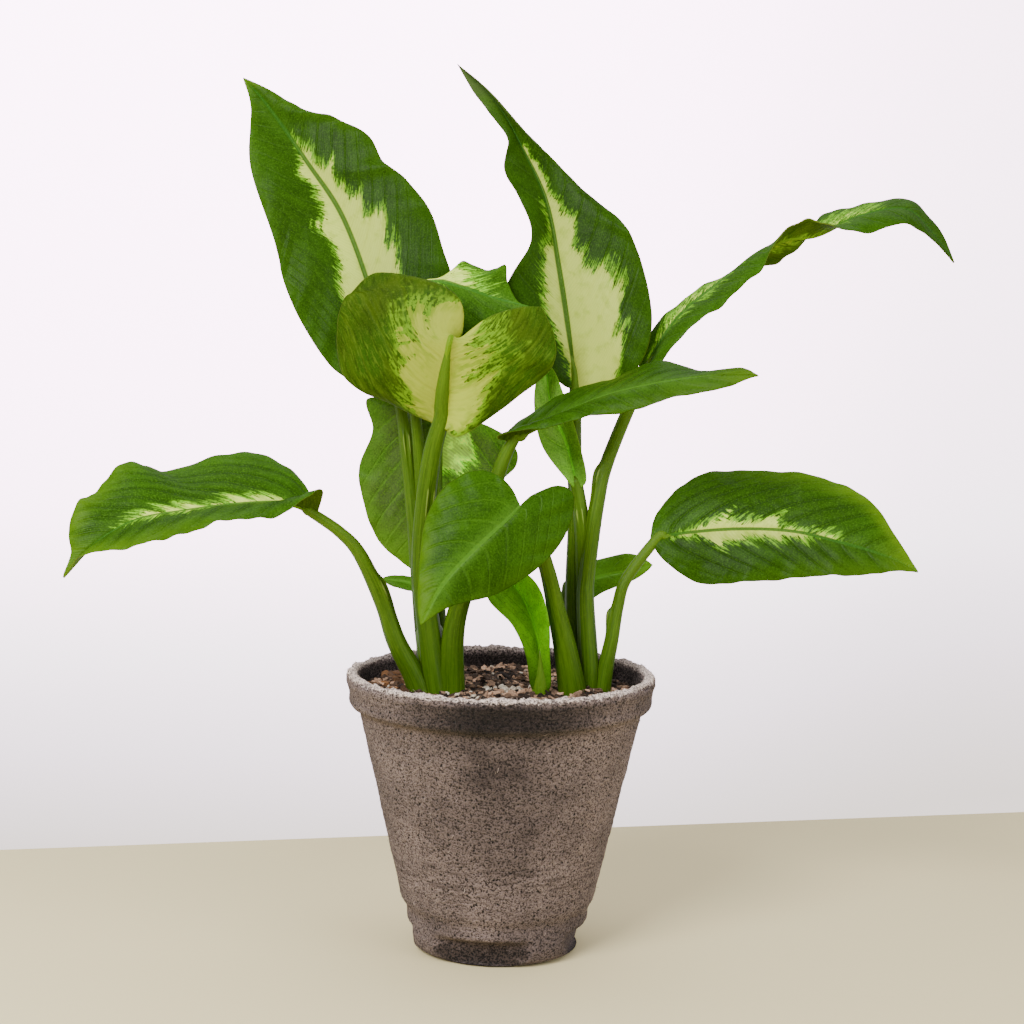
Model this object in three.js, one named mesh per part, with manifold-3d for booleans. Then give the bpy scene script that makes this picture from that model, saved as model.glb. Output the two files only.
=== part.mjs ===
// A young dieffenbachia in a moulded-fibre nursery pot.
// Millimetres, +Z up. The origin is the middle of the pot's underside; -Y is the front.
import * as THREE from 'three';
import { mergeVertices } from 'three/addons/utils/BufferGeometryUtils.js';
import Module from 'manifold-3d';

const wasm = await Module();
wasm.setup();

// Driving dimensions of the pot
const POT_HEIGHT = 99.4;
const RIM_RADIUS = 55;
const COLLAR_HEIGHT = 13;
// The collar's section from its foot over the rim, as (out from the rim's radius, up from the foot)
const COLLAR = [[-2.1, 1.2], [-0.4, 3.4], [0, 7], [-0.6, 11.4], [-2, 13], [-4.2, 12.2]];
const WALL = 2.6;
const FLOOR = 3;
const FOOT_RADIUS = 32.5;
const FOOT_HEIGHT = 15;
const FOOT_FILLET = 5.6;
const FOOT_STEP = 3;
const BODY_TOP_RADIUS = 50.4;
const BODY_FOOT_RADIUS = 34.5;
const FACET_DISTANCE = 26.9;
const FACET_HEIGHT = 9.5;
const FACET_TURN = -10;
const FACET_COUNT = 4;
const FACET_CUT = { depth: 20, length: 80, below: 2 };
const FOOT_INNER = FACET_DISTANCE - WALL;
const DRAIN_RADIUS = 3;
const DRAIN_RING = 18;
const DRAIN_SIDES = 10;
const RIM_RAGGEDNESS = 0.7;

// Driving dimensions of the soil and what stands in it
const SOIL_TOP = 92.6;
const SOIL_BUMP = 0.9;
const LUMP_COUNT = 26;
const LUMP_SIZE = 2.6;
const LUMP_MARGIN = 6;
const GOLDEN_ANGLE = Math.PI * (3 - Math.sqrt(5));
const STEM_DEPTH = 28;
const CLEARANCE = 0.3;

// How a stalk's radius falls off from its sheath, and how much narrower a crown is at its top
const STALK_TAPER = 1.6;
const CROWN_TOP = 0.6;

// Driving dimensions of the leaves
const BLADE_THICKNESS = 0.7;
const BLADE_ARCH = 0.1;
const BLADE_START = 0.03;
const BLADE_END = 0.985;
const RIB_HALF_WIDTH = 0.07;
const RIB_TAPER = 0.8;
const LEFT_WAVE_PHASE = 0.37;
const NORMAL_REACH = 5;

// Facets along and across each kind of surface
const POT_SIDES = 40;
const SOIL_SIDES = 26;
const STALK_SIDES = 7;
const STALK_STEP = 15;

// Each blade: the midrib from base to tip, and both margins without those two ends.
// Left and right are as seen on the upper face with the tip up. A wave is its height,
// its count along the margin and its phase; ridge is how far the midrib stands out below.
const BLADES = {
  low_left: {
    rib: [[-64, -18, 156], [-73, -21, 160], [-90, -27, 160], [-107, -33, 158], [-123, -38, 155],
      [-136, -42, 147], [-146, -44, 136]],
    left: [[-62, -25, 165], [-74, -32, 158], [-91, -38, 155], [-106, -45, 152], [-121, -50, 147],
      [-137, -49, 145]],
    right: [[-69, -11, 165], [-77, -8, 173], [-89, -8, 176], [-102, -12, 174], [-118, -18, 171],
      [-126, -22, 173], [-133, -27, 170], [-138, -31, 164], [-142, -35, 161], [-145, -39, 152],
      [-144, -42, 144]],
    wave: [1.2, 4, 0.1],
    ridge: 1.2,
  },
  tall_left: {
    rib: [[-40, 6, 203], [-49, 12, 233], [-60, 20, 260], [-74, 27, 280], [-88, 34, 299], [-98, 38, 310]],
    left: [[-47, 3, 199], [-60, 1, 205], [-71, 5, 219], [-79, 8, 235], [-83, 12, 250], [-93, 21, 277],
      [-94, 30, 298]],
    right: [[-29, 4, 206], [-20, 6, 221], [-19, 9, 235], [-23, 11, 248], [-28, 13, 262],
      [-37, 18, 273], [-45, 19, 279], [-51, 23, 289], [-63, 27, 295], [-72, 28, 297], [-80, 32, 301],
      [-87, 35, 305]],
    wave: [1, 4, 0.3],
    ridge: 1.4,
  },
  folded: {
    rib: [[-22, -16, 187], [-21, -23, 202], [-19, -28, 216], [-18, -22, 213], [-17, -16, 201],
      [-16, -14, 192]],
    left: [[-15, -19, 184], [4, -12, 197], [17, -8, 210], [12, -8, 228], [4, -6, 220], [-8, -10, 201]],
    right: [[-35, -13, 192], [-56, -7, 203], [-59, -5, 221], [-55, -7, 231], [-42, -7, 238],
      [-27, -11, 204]],
    leftMiddle: [[-18, -21, 185], [-8, -21, 196], [-1, -20, 213], [-7, -23, 229], [-9, -14, 217],
      [-12, -13, 198]],
    rightMiddle: [[-28, -18, 190], [-37, -21, 199], [-39, -20, 220], [-4, -25, 243], [-26, -14, 224],
      [-21, -13, 199]],
    wave: [0.8, 3, 0],
    ridge: 2.4,
  },
  behind: {
    rib: [[-40, 0, 233], [-27, 1, 237], [-16, 2, 235], [-4, 1, 231], [10, -2, 228]],
    left: [[-32, 4, 237], [-21, 7, 238], [-16, 8, 244], [-7, 7, 241], [-1, 6, 243], [0, 4, 237],
      [4, 1, 230]],
    right: [[-37, -1, 226], [-26, -2, 218], [-13, -2, 216], [-1, -2, 221], [6, -2, 225]],
    wave: [0, 3, 0],
    ridge: 0.8,
  },
  tall_middle: {
    rib: [[25, 8, 199], [22, 11, 221], [18, 15, 244], [13, 20, 267], [4, 26, 286], [-6, 32, 303],
      [-20, 35, 316]],
    left: [[18, 6, 203], [5, 7, 220], [-1, 8, 234], [8, 10, 252], [4, 14, 266], [-2, 17, 277],
      [-1, 22, 288], [-8, 28, 298], [-14, 32, 306]],
    right: [[34, 4, 199], [47, 1, 209], [51, 3, 225], [47, 7, 245], [40, 11, 259], [29, 15, 268],
      [11, 22, 285], [-7, 30, 305]],
    wave: [1, 4, 0.2],
    ridge: 1.4,
  },
  heart: {
    rib: [[6, -30, 161], [1, -32, 156], [-10, -36, 146], [-20, -40, 135], [-27, -43, 122]],
    left: [[10, -27, 165], [19, -25, 168], [24, -25, 164], [22, -27, 153], [14, -30, 142], [-1, -34, 132],
      [-17, -40, 128]],
    right: [[1, -27, 169], [-8, -25, 173], [-19, -26, 168], [-26, -30, 157], [-28, -36, 141],
      [-28, -41, 128]],
    wave: [0.5, 3, 0],
    ridge: 1,
  },
  hanging: {
    rib: [[-24, 12, 188], [-26, 16, 169], [-27, 19, 147], [-27, 20, 129]],
    left: [[-10, 17, 187], [2, 20, 180], [4, 20, 171], [-9, 20, 158], [-21, 20, 137]],
    right: [[-49, 17, 195], [-48, 19, 183], [-53, 21, 169], [-51, 22, 156], [-46, 22, 143],
      [-37, 21, 135]],
    wave: [0.8, 3, 0.5],
    ridge: 1,
  },
  young: {
    rib: [[14, -12.5, 94.5], [14, -12.5, 103], [12.5, -12.5, 113.5], [7.5, -13, 127], [0, -15, 137]],
    left: [[10.5, -13.5, 96.5], [8.5, -16, 108], [3.5, -19, 119], [-4.5, -21, 127.5],
      [-5, -20, 134.5]],
    right: [[17.5, -13.5, 96.5], [17, -16, 108], [16.5, -20, 119.5], [13.5, -22, 131], [8, -20, 137]],
    wave: [0, 2, 0],
    ridge: 0.8,
    small: true,
  },
  small_right: {
    rib: [[22, 14, 127], [35, 19, 131], [46, 23, 133], [55, 26, 135]],
    left: [[26, 19, 135], [35, 24, 137], [46, 27, 139], [52, 27, 137]],
    right: [[27, 13, 121], [37, 17, 126], [48, 21, 130], [53, 24, 133]],
    wave: [0, 2, 0],
    ridge: 0.6,
    small: true,
  },
  small_left: {
    rib: [[-28, 10, 127], [-35, 11, 129], [-44, 12, 130]],
    left: [[-31, 8, 126], [-37, 9, 127], [-41, 11, 128]],
    right: [[-31, 13, 130], [-36, 14, 131], [-41, 13, 131]],
    wave: [0, 2, 0],
    ridge: 0.4,
    small: true,
  },
  mid_right: {
    rib: [[1, -13, 182], [14, -17, 189], [32, -23, 198], [49, -29, 203], [65, -34, 206],
      [84, -38, 207]],
    left: [[2, -8, 186], [15, -7, 196], [34, -8, 203], [50, -13, 210], [67, -24, 208], [79, -34, 209]],
    right: [[-2, -19, 184], [14, -24, 188], [32, -29, 192], [51, -34, 197], [73, -39, 203]],
    wave: [0.8, 4, 0.4],
    ridge: 1,
  },
  rolled: {
    rib: [[26, 2, 164], [22, 3, 180], [16, 2, 194], [14, 1, 209]],
    left: [[22, -1, 168], [13, -2, 180], [10, -3, 194], [11, -1, 205]],
    right: [[29, -1, 169], [25, -2, 185], [20, -3, 199], [17, -1, 206]],
    wave: [0, 2, 0],
    ridge: 0.8,
    small: true,
  },
  long_right: {
    rib: [[44, 5, 196], [53, 8, 214], [62, 11, 227], [75, 14, 238], [88, 17, 249], [99, 19, 254],
      [111, 21, 256], [126, 24, 263], [143, 27, 266], [153, 28, 258], [162, 28, 247]],
    left: [[51, 12, 220], [61, 17, 230], [74, 20, 239], [92, 23, 244], [104, 23, 250], [114, 29, 264],
      [128, 31, 267], [145, 33, 270], [156, 31, 260]],
    right: [[54, 2, 209], [64, 3, 222], [76, 5, 230], [88, 10, 242], [99, 14, 258], [111, 14, 260],
      [126, 17, 257], [142, 21, 260], [153, 25, 255]],
    wave: [0.6, 4, 0],
    ridge: 1,
  },
  right: {
    rib: [[52, 2, 147], [66, 0, 150], [83, -4, 152], [101, -9, 152], [117, -14, 149], [132, -18, 145],
      [143, -21, 140]],
    left: [[54, 6, 155], [61, 8, 164], [74, 9, 171], [93, 6, 172], [113, 0, 170], [127, -7, 164],
      [137, -15, 150]],
    right: [[57, -2, 140], [69, -6, 133], [85, -11, 134], [104, -16, 137], [120, -19, 138], [134, -21, 140]],
    wave: [0.9, 4, 0.6],
    ridge: 1.2,
  },
};

// Each stem: its crown in the soil, and the route and end radii of the stalk of every leaf on it
const STEMS = {
  left: {
    crown: { foot: [-21, -3], top: [-26, -4], radius: 8, height: 28 },
    stalks: {
      low_left: { route: [[-27, -8, 89], [-31, -9, 99.5], [-37, -11, 111.5], [-41.5, -12, 124.5],
        [-49.5, -15, 142], [-56.5, -17, 150]], radii: [4.4, 1.8] },
      tall_left: { route: [[-23.5, -2, 88], [-27.4, 0, 110], [-29.8, 2, 131], [-32.2, 4, 155],
        [-35, 6, 178.5], [-37, 7, 192]], radii: [3.2, 1.9] },
      folded: { route: [[-21.5, -8, 89], [-25, -8, 111.5], [-28, -9, 136], [-27.5, -11, 156.5],
        [-25, -14, 177]], radii: [3.6, 2.1] },
      behind: { route: [[-22.5, 3, 87], [-27, 4, 123.5], [-29, 3, 159.5], [-31, 0, 184.5],
        [-34.5, -2, 212.5]], radii: [3, 1.4] },
      hanging: { route: [[-20.5, 7, 86.5], [-23, 8, 123], [-24, 9, 159]], radii: [2.8, 1.5] },
      small_left: { route: [[-22.5, 5, 86.5], [-24.5, 7, 109]], radii: [2.2, 1.1] },
      mid_right: { route: [[-17, -8, 89.5], [-17, -10, 112], [-14.3, -11, 126], [-7.5, -13, 146],
        [-2, -13, 170.5]], radii: [4.4, 1.9] },
    },
  },
  middle: {
    crown: { foot: [14.5, -14], top: [13.5, -10], radius: 4.4, height: 22 },
    stalks: {
      young: { route: [[14.5, -12, 88]], radii: [3, 2.4] },
    },
  },
  right: {
    crown: { foot: [29, -1], top: [29, -1], radius: 7.4, height: 14 },
    stalks: {
      tall_middle: { route: [[27.5, 2, 88], [25.5, 4, 124.5], [25.5, 6, 153], [25, 7, 180]],
        radii: [3.4, 1.7] },
      heart: { route: [[26, -7, 90], [22.5, -10, 109], [19, -13, 123.5], [15.5, -18, 138],
        [11, -24, 151]], radii: [4.6, 1.9] },
      small_right: { route: [[26.5, 5, 87.5], [23, 9, 109.5]], radii: [2.6, 1.2] },
      rolled: { route: [[30, 1, 88.5], [29, 2, 125], [28, 2, 150]], radii: [3.4, 2.2] },
      long_right: { route: [[31, -3, 89], [31, -3, 103], [29.5, -2, 125], [30, -1, 135.5], [33, 1, 160],
        [36.5, 3, 175]], radii: [3.8, 2] },
      right: { route: [[35.5, -3, 89], [37, -3, 101], [39, -3, 111.5], [41, -2, 124], [44, -1, 133.5]],
        radii: [3.2, 1.6] },
    },
  },
};

const COLOURS = {
  pot: 0x7a6c60,
  soil: 0x3a2a1e,
  stem: 0x5d8a2e,
  blade: 0x2f6d24,
  pale: 0x7fae3c,
};

// A repeatable number from 0 to 1 for any pair of numbers
function noise(a, b) {
  const value = Math.sin(a * 127.1 + b * 311.7) * 43758.5453;
  return value - Math.floor(value);
}

function curve(points) {
  const vectors = points.map((point) => new THREE.Vector3(...point));
  return new THREE.CatmullRomCurve3(vectors, false, 'catmullrom', 0.5);
}

// Only the places of the vertices, with shared ones merged, so that a body is closed
function plain(geometry) {
  geometry.deleteAttribute('normal');
  geometry.deleteAttribute('uv');
  return mergeVertices(geometry, 1e-4);
}

function toSolid(geometry) {
  const merged = plain(geometry);
  return new wasm.Manifold(new wasm.Mesh({
    numProp: 3,
    vertProperties: new Float32Array(merged.attributes.position.array),
    triVerts: new Uint32Array(merged.index.array),
  }));
}

function toGeometry(solid) {
  const mesh = solid.getMesh();
  const geometry = new THREE.BufferGeometry();
  geometry.setAttribute('position', new THREE.BufferAttribute(new Float32Array(mesh.vertProperties), 3));
  geometry.setIndex(new THREE.BufferAttribute(new Uint32Array(mesh.triVerts), 1));
  return geometry;
}

// A cut can leave a scrap beside the piece itself, which is always the largest body
function largest(solid) {
  const bodies = solid.decompose();
  return bodies.reduce((best, body) => (body.volume() > best.volume() ? body : best));
}

// A lathe's own axis is Y, so its outline is turned up to Z
function turned(outline, sides) {
  const geometry = new THREE.LatheGeometry(outline.map(([r, z]) => new THREE.Vector2(r, z)), sides);
  geometry.rotateX(Math.PI / 2);
  return geometry;
}

// The outer radius of the pot's plain cone at a height
function coneRadius(z) {
  const low = FOOT_HEIGHT + FOOT_STEP;
  const high = POT_HEIGHT - COLLAR_HEIGHT;
  return BODY_FOOT_RADIUS + (BODY_TOP_RADIUS - BODY_FOOT_RADIUS) * (z - low) / (high - low);
}

function innerRadius(z) {
  return coneRadius(z) - WALL;
}

// The collar's outside and the wall inside it, drawn up round the rim
function potOutline() {
  const collar = POT_HEIGHT - COLLAR_HEIGHT;
  const bodyFoot = FOOT_HEIGHT + FOOT_STEP;
  return [
    [0, 0],
    [FOOT_RADIUS - FOOT_FILLET, 0],
    [FOOT_RADIUS - FOOT_FILLET * 0.3, FOOT_FILLET * 0.3],
    [FOOT_RADIUS, FOOT_FILLET],
    [FOOT_RADIUS, FOOT_HEIGHT],
    [coneRadius(bodyFoot), bodyFoot],
    [BODY_TOP_RADIUS, collar],
    ...COLLAR.map(([out, up]) => [RIM_RADIUS + out, collar + up]),
    [innerRadius(SOIL_TOP + 3), SOIL_TOP + 2],
    [innerRadius(bodyFoot), bodyFoot],
    [FOOT_INNER, FACET_HEIGHT + 2],
    [FOOT_INNER - 1, FLOOR],
    [0, FLOOR],
  ];
}

// The rim is torn fibre, so its vertices wander in and out and up and down
function roughenRim(geometry) {
  const places = geometry.attributes.position;
  const point = new THREE.Vector3();
  for (let i = 0; i < places.count; i += 1) {
    point.fromBufferAttribute(places, i);
    if (point.z > POT_HEIGHT - COLLAR_HEIGHT + 1) {
      const turn = Math.round(Math.atan2(point.y, point.x) / (2 * Math.PI) * POT_SIDES);
      const wander = noise(((turn % POT_SIDES) + POT_SIDES) % POT_SIDES, Math.round(point.z)) - 0.5;
      const out = 1 + RIM_RAGGEDNESS * wander / RIM_RADIUS;
      places.setXYZ(i, point.x * out, point.y * out, point.z + RIM_RAGGEDNESS * wander);
    }
  }
}

function potGeometry() {
  const wall = plain(turned(potOutline(), POT_SIDES));
  roughenRim(wall);
  let pot = toSolid(wall);
  for (let i = 0; i < FACET_COUNT; i += 1) {
    const angle = THREE.MathUtils.degToRad(-90 + FACET_TURN + i * 360 / FACET_COUNT);
    const { depth, length, below } = FACET_CUT;
    const facet = new THREE.BoxGeometry(depth, length, FACET_HEIGHT + below);
    facet.translate(FACET_DISTANCE + depth / 2, 0, (FACET_HEIGHT - below) / 2);
    facet.rotateZ(angle);
    pot = pot.subtract(toSolid(facet));
    const drain = new THREE.CylinderGeometry(DRAIN_RADIUS, DRAIN_RADIUS, FLOOR * 4, DRAIN_SIDES);
    drain.rotateX(Math.PI / 2);
    drain.translate(DRAIN_RING, 0, 0);
    drain.rotateZ(angle + Math.PI / FACET_COUNT);
    pot = pot.subtract(toSolid(drain));
  }
  return toGeometry(pot);
}

// A stalk is a round rod along its route, thick at its sheath and slender at the blade
function stalkGeometry(route, radii, extra) {
  const line = curve(route);
  const steps = Math.max(2, Math.round(line.getLength() / STALK_STEP));
  const rod = new THREE.CylinderGeometry(1, 1, 1, STALK_SIDES, steps);
  const places = rod.attributes.position;
  const [thick, slender] = radii;
  for (let i = 0; i < places.count; i += 1) {
    const t = places.getY(i) + 0.5;
    const middle = line.getPoint(t);
    const along = line.getTangent(t);
    const across = new THREE.Vector3(0, 1, 0).cross(along).normalize();
    const outward = new THREE.Vector3().crossVectors(across, along);
    const radius = slender + (thick - slender) * (1 - t) ** STALK_TAPER + extra;
    middle.addScaledVector(across, places.getX(i) * radius);
    middle.addScaledVector(outward, places.getZ(i) * radius);
    places.setXYZ(i, middle.x, middle.y, middle.z);
  }
  return rod;
}

function ribStart(name) {
  const start = curve(BLADES[name].rib).getPoint(BLADE_START);
  return [start.x, start.y, start.z];
}

// A stem is one plant: its crown, rooted in the soil, with all its stalks grown out of it
function stemSolid({ crown, stalks }, extra) {
  const bottom = [...crown.foot, SOIL_TOP - STEM_DEPTH];
  const top = [...crown.top, SOIL_TOP + crown.height];
  let stem = toSolid(stalkGeometry([bottom, top], [crown.radius, crown.radius * CROWN_TOP], extra));
  for (const [name, { route, radii }] of Object.entries(stalks)) {
    stem = stem.add(toSolid(stalkGeometry([...route, ribStart(name)], radii, extra)));
  }
  return largest(stem);
}

// Lumps of bark and perlite lie in a sunflower pattern, sunk by half, clear of the stems
function lumpSolids() {
  const crowns = Object.values(STEMS).map(({ crown }) => crown);
  const lumps = [];
  for (let i = 0; i < LUMP_COUNT; i += 1) {
    const reach = (innerRadius(SOIL_TOP) - LUMP_MARGIN) * Math.sqrt((i + 0.5) / LUMP_COUNT);
    const angle = i * GOLDEN_ANGLE;
    const x = reach * Math.cos(angle);
    const y = reach * Math.sin(angle);
    const clear = crowns.every(({ top, radius }) => (
      Math.hypot(x - top[0], y - top[1]) > radius + LUMP_MARGIN));
    if (clear) {
      const lump = new THREE.IcosahedronGeometry(LUMP_SIZE * (0.6 + 0.6 * noise(i, 1)), 0);
      lump.scale(1, 0.7 + 0.3 * noise(i, 2), 0.6);
      lump.rotateZ(Math.PI * noise(i, 3));
      lump.translate(x, y, SOIL_TOP);
      lumps.push(toSolid(lump));
    }
  }
  return lumps;
}

function soilGeometry(stems) {
  const rings = [0.8, 0.58, 0.32];
  const edge = innerRadius(SOIL_TOP - 1) - CLEARANCE;
  const low = innerRadius(FOOT_HEIGHT + FOOT_STEP) - CLEARANCE;
  const foot = FOOT_INNER - CLEARANCE;
  const floor = FLOOR + CLEARANCE;
  const heap = plain(turned([
    [0, floor],
    [foot - 1.2, floor],
    [foot, FACET_HEIGHT + 2.4],
    [low, FOOT_HEIGHT + FOOT_STEP + CLEARANCE],
    [edge, SOIL_TOP - 1],
    ...rings.map((part) => [edge * part, SOIL_TOP]),
    [0, SOIL_TOP],
  ], SOIL_SIDES));
  const places = heap.attributes.position;
  for (let i = 0; i < places.count; i += 1) {
    const [x, y, z] = [places.getX(i), places.getY(i), places.getZ(i)];
    if (z > SOIL_TOP - 0.5) {
      places.setZ(i, z + SOIL_BUMP * (2 * noise(Math.round(x), Math.round(y)) - 1));
    }
  }
  let soil = toSolid(heap);
  for (const lump of lumpSolids()) {
    soil = soil.add(lump);
  }
  for (const stem of stems) {
    soil = soil.subtract(stem);
  }
  return toGeometry(largest(soil));
}

// Across one place t of a blade: its midrib, its two edges and the way its upper face looks
function bladeRow(lines, t) {
  const rib = lines.rib.getPoint(t);
  const edges = [lines.left.getPoint(t), lines.right.getPoint(t)];
  const across = new THREE.Vector3().subVectors(edges[1], edges[0]);
  const upward = across.cross(lines.rib.getTangent(t)).normalize();
  return { rib, edges, upward };
}

// Where a blade's surface is: t runs from base to tip and s from the left margin, -1, to the right, 1
function bladePoint(lines, blade, t, s) {
  const away = Math.abs(s);
  const { rib, edges, upward } = bladeRow(lines, t);
  const edge = edges[s < 0 ? 0 : 1];
  const drawn = s < 0 ? lines.leftMiddle : lines.rightMiddle;
  const middle = drawn ? drawn.getPoint(t) : rib.clone().lerp(edge, 0.5)
    .addScaledVector(upward, BLADE_ARCH * rib.distanceTo(edge));
  const [height, count, phase] = blade.wave;
  const start = phase + (s < 0 ? LEFT_WAVE_PHASE : 0);
  const wave = height * away ** 2 * Math.sin(2 * Math.PI * (count * t + start)) * Math.sin(Math.PI * t);
  return rib.multiplyScalar((1 - away) ** 2)
    .addScaledVector(middle, 2 * away * (1 - away))
    .addScaledVector(edge, away ** 2)
    .addScaledVector(upward, wave);
}

// The sheet's own normal, which near the midrib gives way to the row's, so that its two faces can't cross
function bladeNormal(lines, blade, t, s) {
  const step = 1e-3;
  const along = bladePoint(lines, blade, t + step, s).sub(bladePoint(lines, blade, t - step, s));
  const across = bladePoint(lines, blade, t, s + step).sub(bladePoint(lines, blade, t, s - step));
  const { rib, upward } = bladeRow(lines, t);
  const part = Math.min(1, bladePoint(lines, blade, t, s).distanceTo(rib) / NORMAL_REACH);
  return upward.lerp(across.cross(along).normalize(), part).normalize();
}

function bladeLines(blade) {
  const base = blade.rib[0];
  const tip = blade.rib.at(-1);
  return {
    rib: curve(blade.rib),
    left: curve([base, ...blade.left, tip]),
    right: curve([base, ...blade.right, tip]),
    leftMiddle: blade.leftMiddle && curve(blade.leftMiddle),
    rightMiddle: blade.rightMiddle && curve(blade.rightMiddle),
  };
}

// A blade is a thin waved sheet, split alike on both faces, with the midrib a ridge below
function bladeSolid(blade) {
  const lines = bladeLines(blade);
  const rows = blade.small ? 8 : 14;
  const half = blade.small ? [0.5, 1] : [0.36, 0.68, 1];
  const sides = [...half.map((s) => -s).reverse(), -RIB_HALF_WIDTH, 0, RIB_HALF_WIDTH, ...half];
  const upper = [];
  const lower = [];
  for (let i = 0; i <= rows; i += 1) {
    const t = BLADE_START + (BLADE_END - BLADE_START) * i / rows;
    for (const s of sides) {
      const place = bladePoint(lines, blade, t, s);
      const normal = bladeNormal(lines, blade, t, s);
      const ridge = s === 0 ? blade.ridge * (1 - RIB_TAPER * t) : 0;
      upper.push(place.clone().addScaledVector(normal, BLADE_THICKNESS / 2));
      lower.push(place.clone().addScaledVector(normal, -BLADE_THICKNESS / 2 - ridge));
    }
  }
  const width = sides.length;
  const under = upper.length;
  const faces = [];
  const quad = (a, b, c, d) => faces.push(a, b, c, a, c, d);
  for (let i = 0; i < rows; i += 1) {
    for (let j = 0; j < width - 1; j += 1) {
      const a = i * width + j;
      quad(a, a + 1, a + width + 1, a + width);
      faces.push(under + a, under + a + width + 1, under + a + 1);
      faces.push(under + a, under + a + width, under + a + width + 1);
    }
    const left = i * width;
    const right = left + width - 1;
    quad(left, left + width, under + left + width, under + left);
    quad(right + width, right, under + right, under + right + width);
  }
  for (let j = 0; j < width - 1; j += 1) {
    const top = rows * width + j;
    quad(j + 1, j, under + j, under + j + 1);
    quad(top, top + 1, under + top + 1, under + top);
  }
  const sheet = new THREE.BufferGeometry().setFromPoints([...upper, ...lower]);
  sheet.setIndex(faces);
  return toSolid(sheet);
}

const group = new THREE.Group();

function addMesh(name, geometry, color, roughness) {
  const material = new THREE.MeshStandardMaterial({ color, roughness, metalness: 0 });
  const mesh = new THREE.Mesh(geometry, material);
  mesh.name = name;
  group.add(mesh);
}

addMesh('pot', potGeometry(), COLOURS.pot, 0.95);

const holes = Object.values(STEMS).map((stem) => stemSolid(stem, CLEARANCE));
addMesh('soil', soilGeometry(holes), COLOURS.soil, 0.95);

Object.entries(STEMS).forEach(([name, stem], index) => {
  addMesh(`stem_${name}`, toGeometry(stemSolid(stem, 0)), COLOURS.stem, 0.5);
  for (const leaf of Object.keys(stem.stalks)) {
    const blade = largest(bladeSolid(BLADES[leaf]).subtract(holes[index]));
    const color = BLADES[leaf].small ? COLOURS.pale : COLOURS.blade;
    addMesh(`leaf_${leaf}`, toGeometry(blade), color, 0.45);
  }
});

export default group;
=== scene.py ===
"""A potted dieffenbachia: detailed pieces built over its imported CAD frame.

Lengths in the data and in the shape functions are millimetres. A mesh is made in metres.
"""
import math

import bpy
import numpy as np
from mathutils import Matrix, Vector, noise


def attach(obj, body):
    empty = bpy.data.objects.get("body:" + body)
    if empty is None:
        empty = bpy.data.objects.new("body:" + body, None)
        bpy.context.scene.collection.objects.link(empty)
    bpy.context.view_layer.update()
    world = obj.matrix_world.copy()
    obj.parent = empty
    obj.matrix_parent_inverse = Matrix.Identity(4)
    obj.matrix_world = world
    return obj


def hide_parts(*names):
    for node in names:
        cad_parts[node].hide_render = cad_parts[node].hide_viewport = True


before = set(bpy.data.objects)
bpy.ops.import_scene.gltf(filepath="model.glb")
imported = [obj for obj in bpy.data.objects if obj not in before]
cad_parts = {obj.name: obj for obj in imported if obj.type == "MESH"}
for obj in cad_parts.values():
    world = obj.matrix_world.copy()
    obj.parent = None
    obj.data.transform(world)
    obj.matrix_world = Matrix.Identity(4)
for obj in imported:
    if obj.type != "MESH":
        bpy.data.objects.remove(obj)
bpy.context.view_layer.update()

bl_info = {
    "name": "Potted Dieffenbachia",
    "version": (1, 0, 0),
    "blender": (4, 5, 0),
    "location": "View3D > Sidebar > Dieffenbachia",
    "description": "Builds the leaves, stems, soil and fibre pot over the packed model",
    "category": "Object",
}

MM = 0.001
FULL_TURN = 6.283
# How far on, as a share of its length, a line's course is taken
STEP = 1e-3

# The pot and its soil, as in the CAD
POT_HEIGHT = 99.4
RIM_RADIUS = 55
COLLAR_HEIGHT = 13
COLLAR_LIP = 4.2
WALL = 2.6
FLOOR = 3
FOOT_RADIUS = 32.5
FOOT_HEIGHT = 15
FOOT_FILLET = 5.6
BODY_TOP_RADIUS = 50.4
BODY_FOOT_RADIUS = 34.5
FACET_DISTANCE = 26.9
FACET_HEIGHT = 9.5
FACET_TURN = -10
FACET_COUNT = 4
SOIL_TOP = 92.6
STEM_DEPTH = 28

# The blades, as in the CAD
BLADE_ARCH = 0.1
LEFT_WAVE_PHASE = 0.37
NORMAL_REACH = 5
RIB_TAPER = 0.8
STALK_END = 0.03
MIDRIB_REACH = (0.07, 0.11)
# The side veins of a blade that names none
VEIN_COURSE = (0.8, 0.4)
VEIN_SPACING = 9
# The columns of faces from a blade's midrib to its margin, as shares of the way
HALF_COLUMNS = (
    0, 0.012, 0.03, 0.055, 0.085, 0.125, 0.18, 0.24, 0.31, 0.38, 0.46, 0.54, 0.62, 0.7, 0.78, 0.86, 0.92,
    0.965, 0.99, 1)

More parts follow.
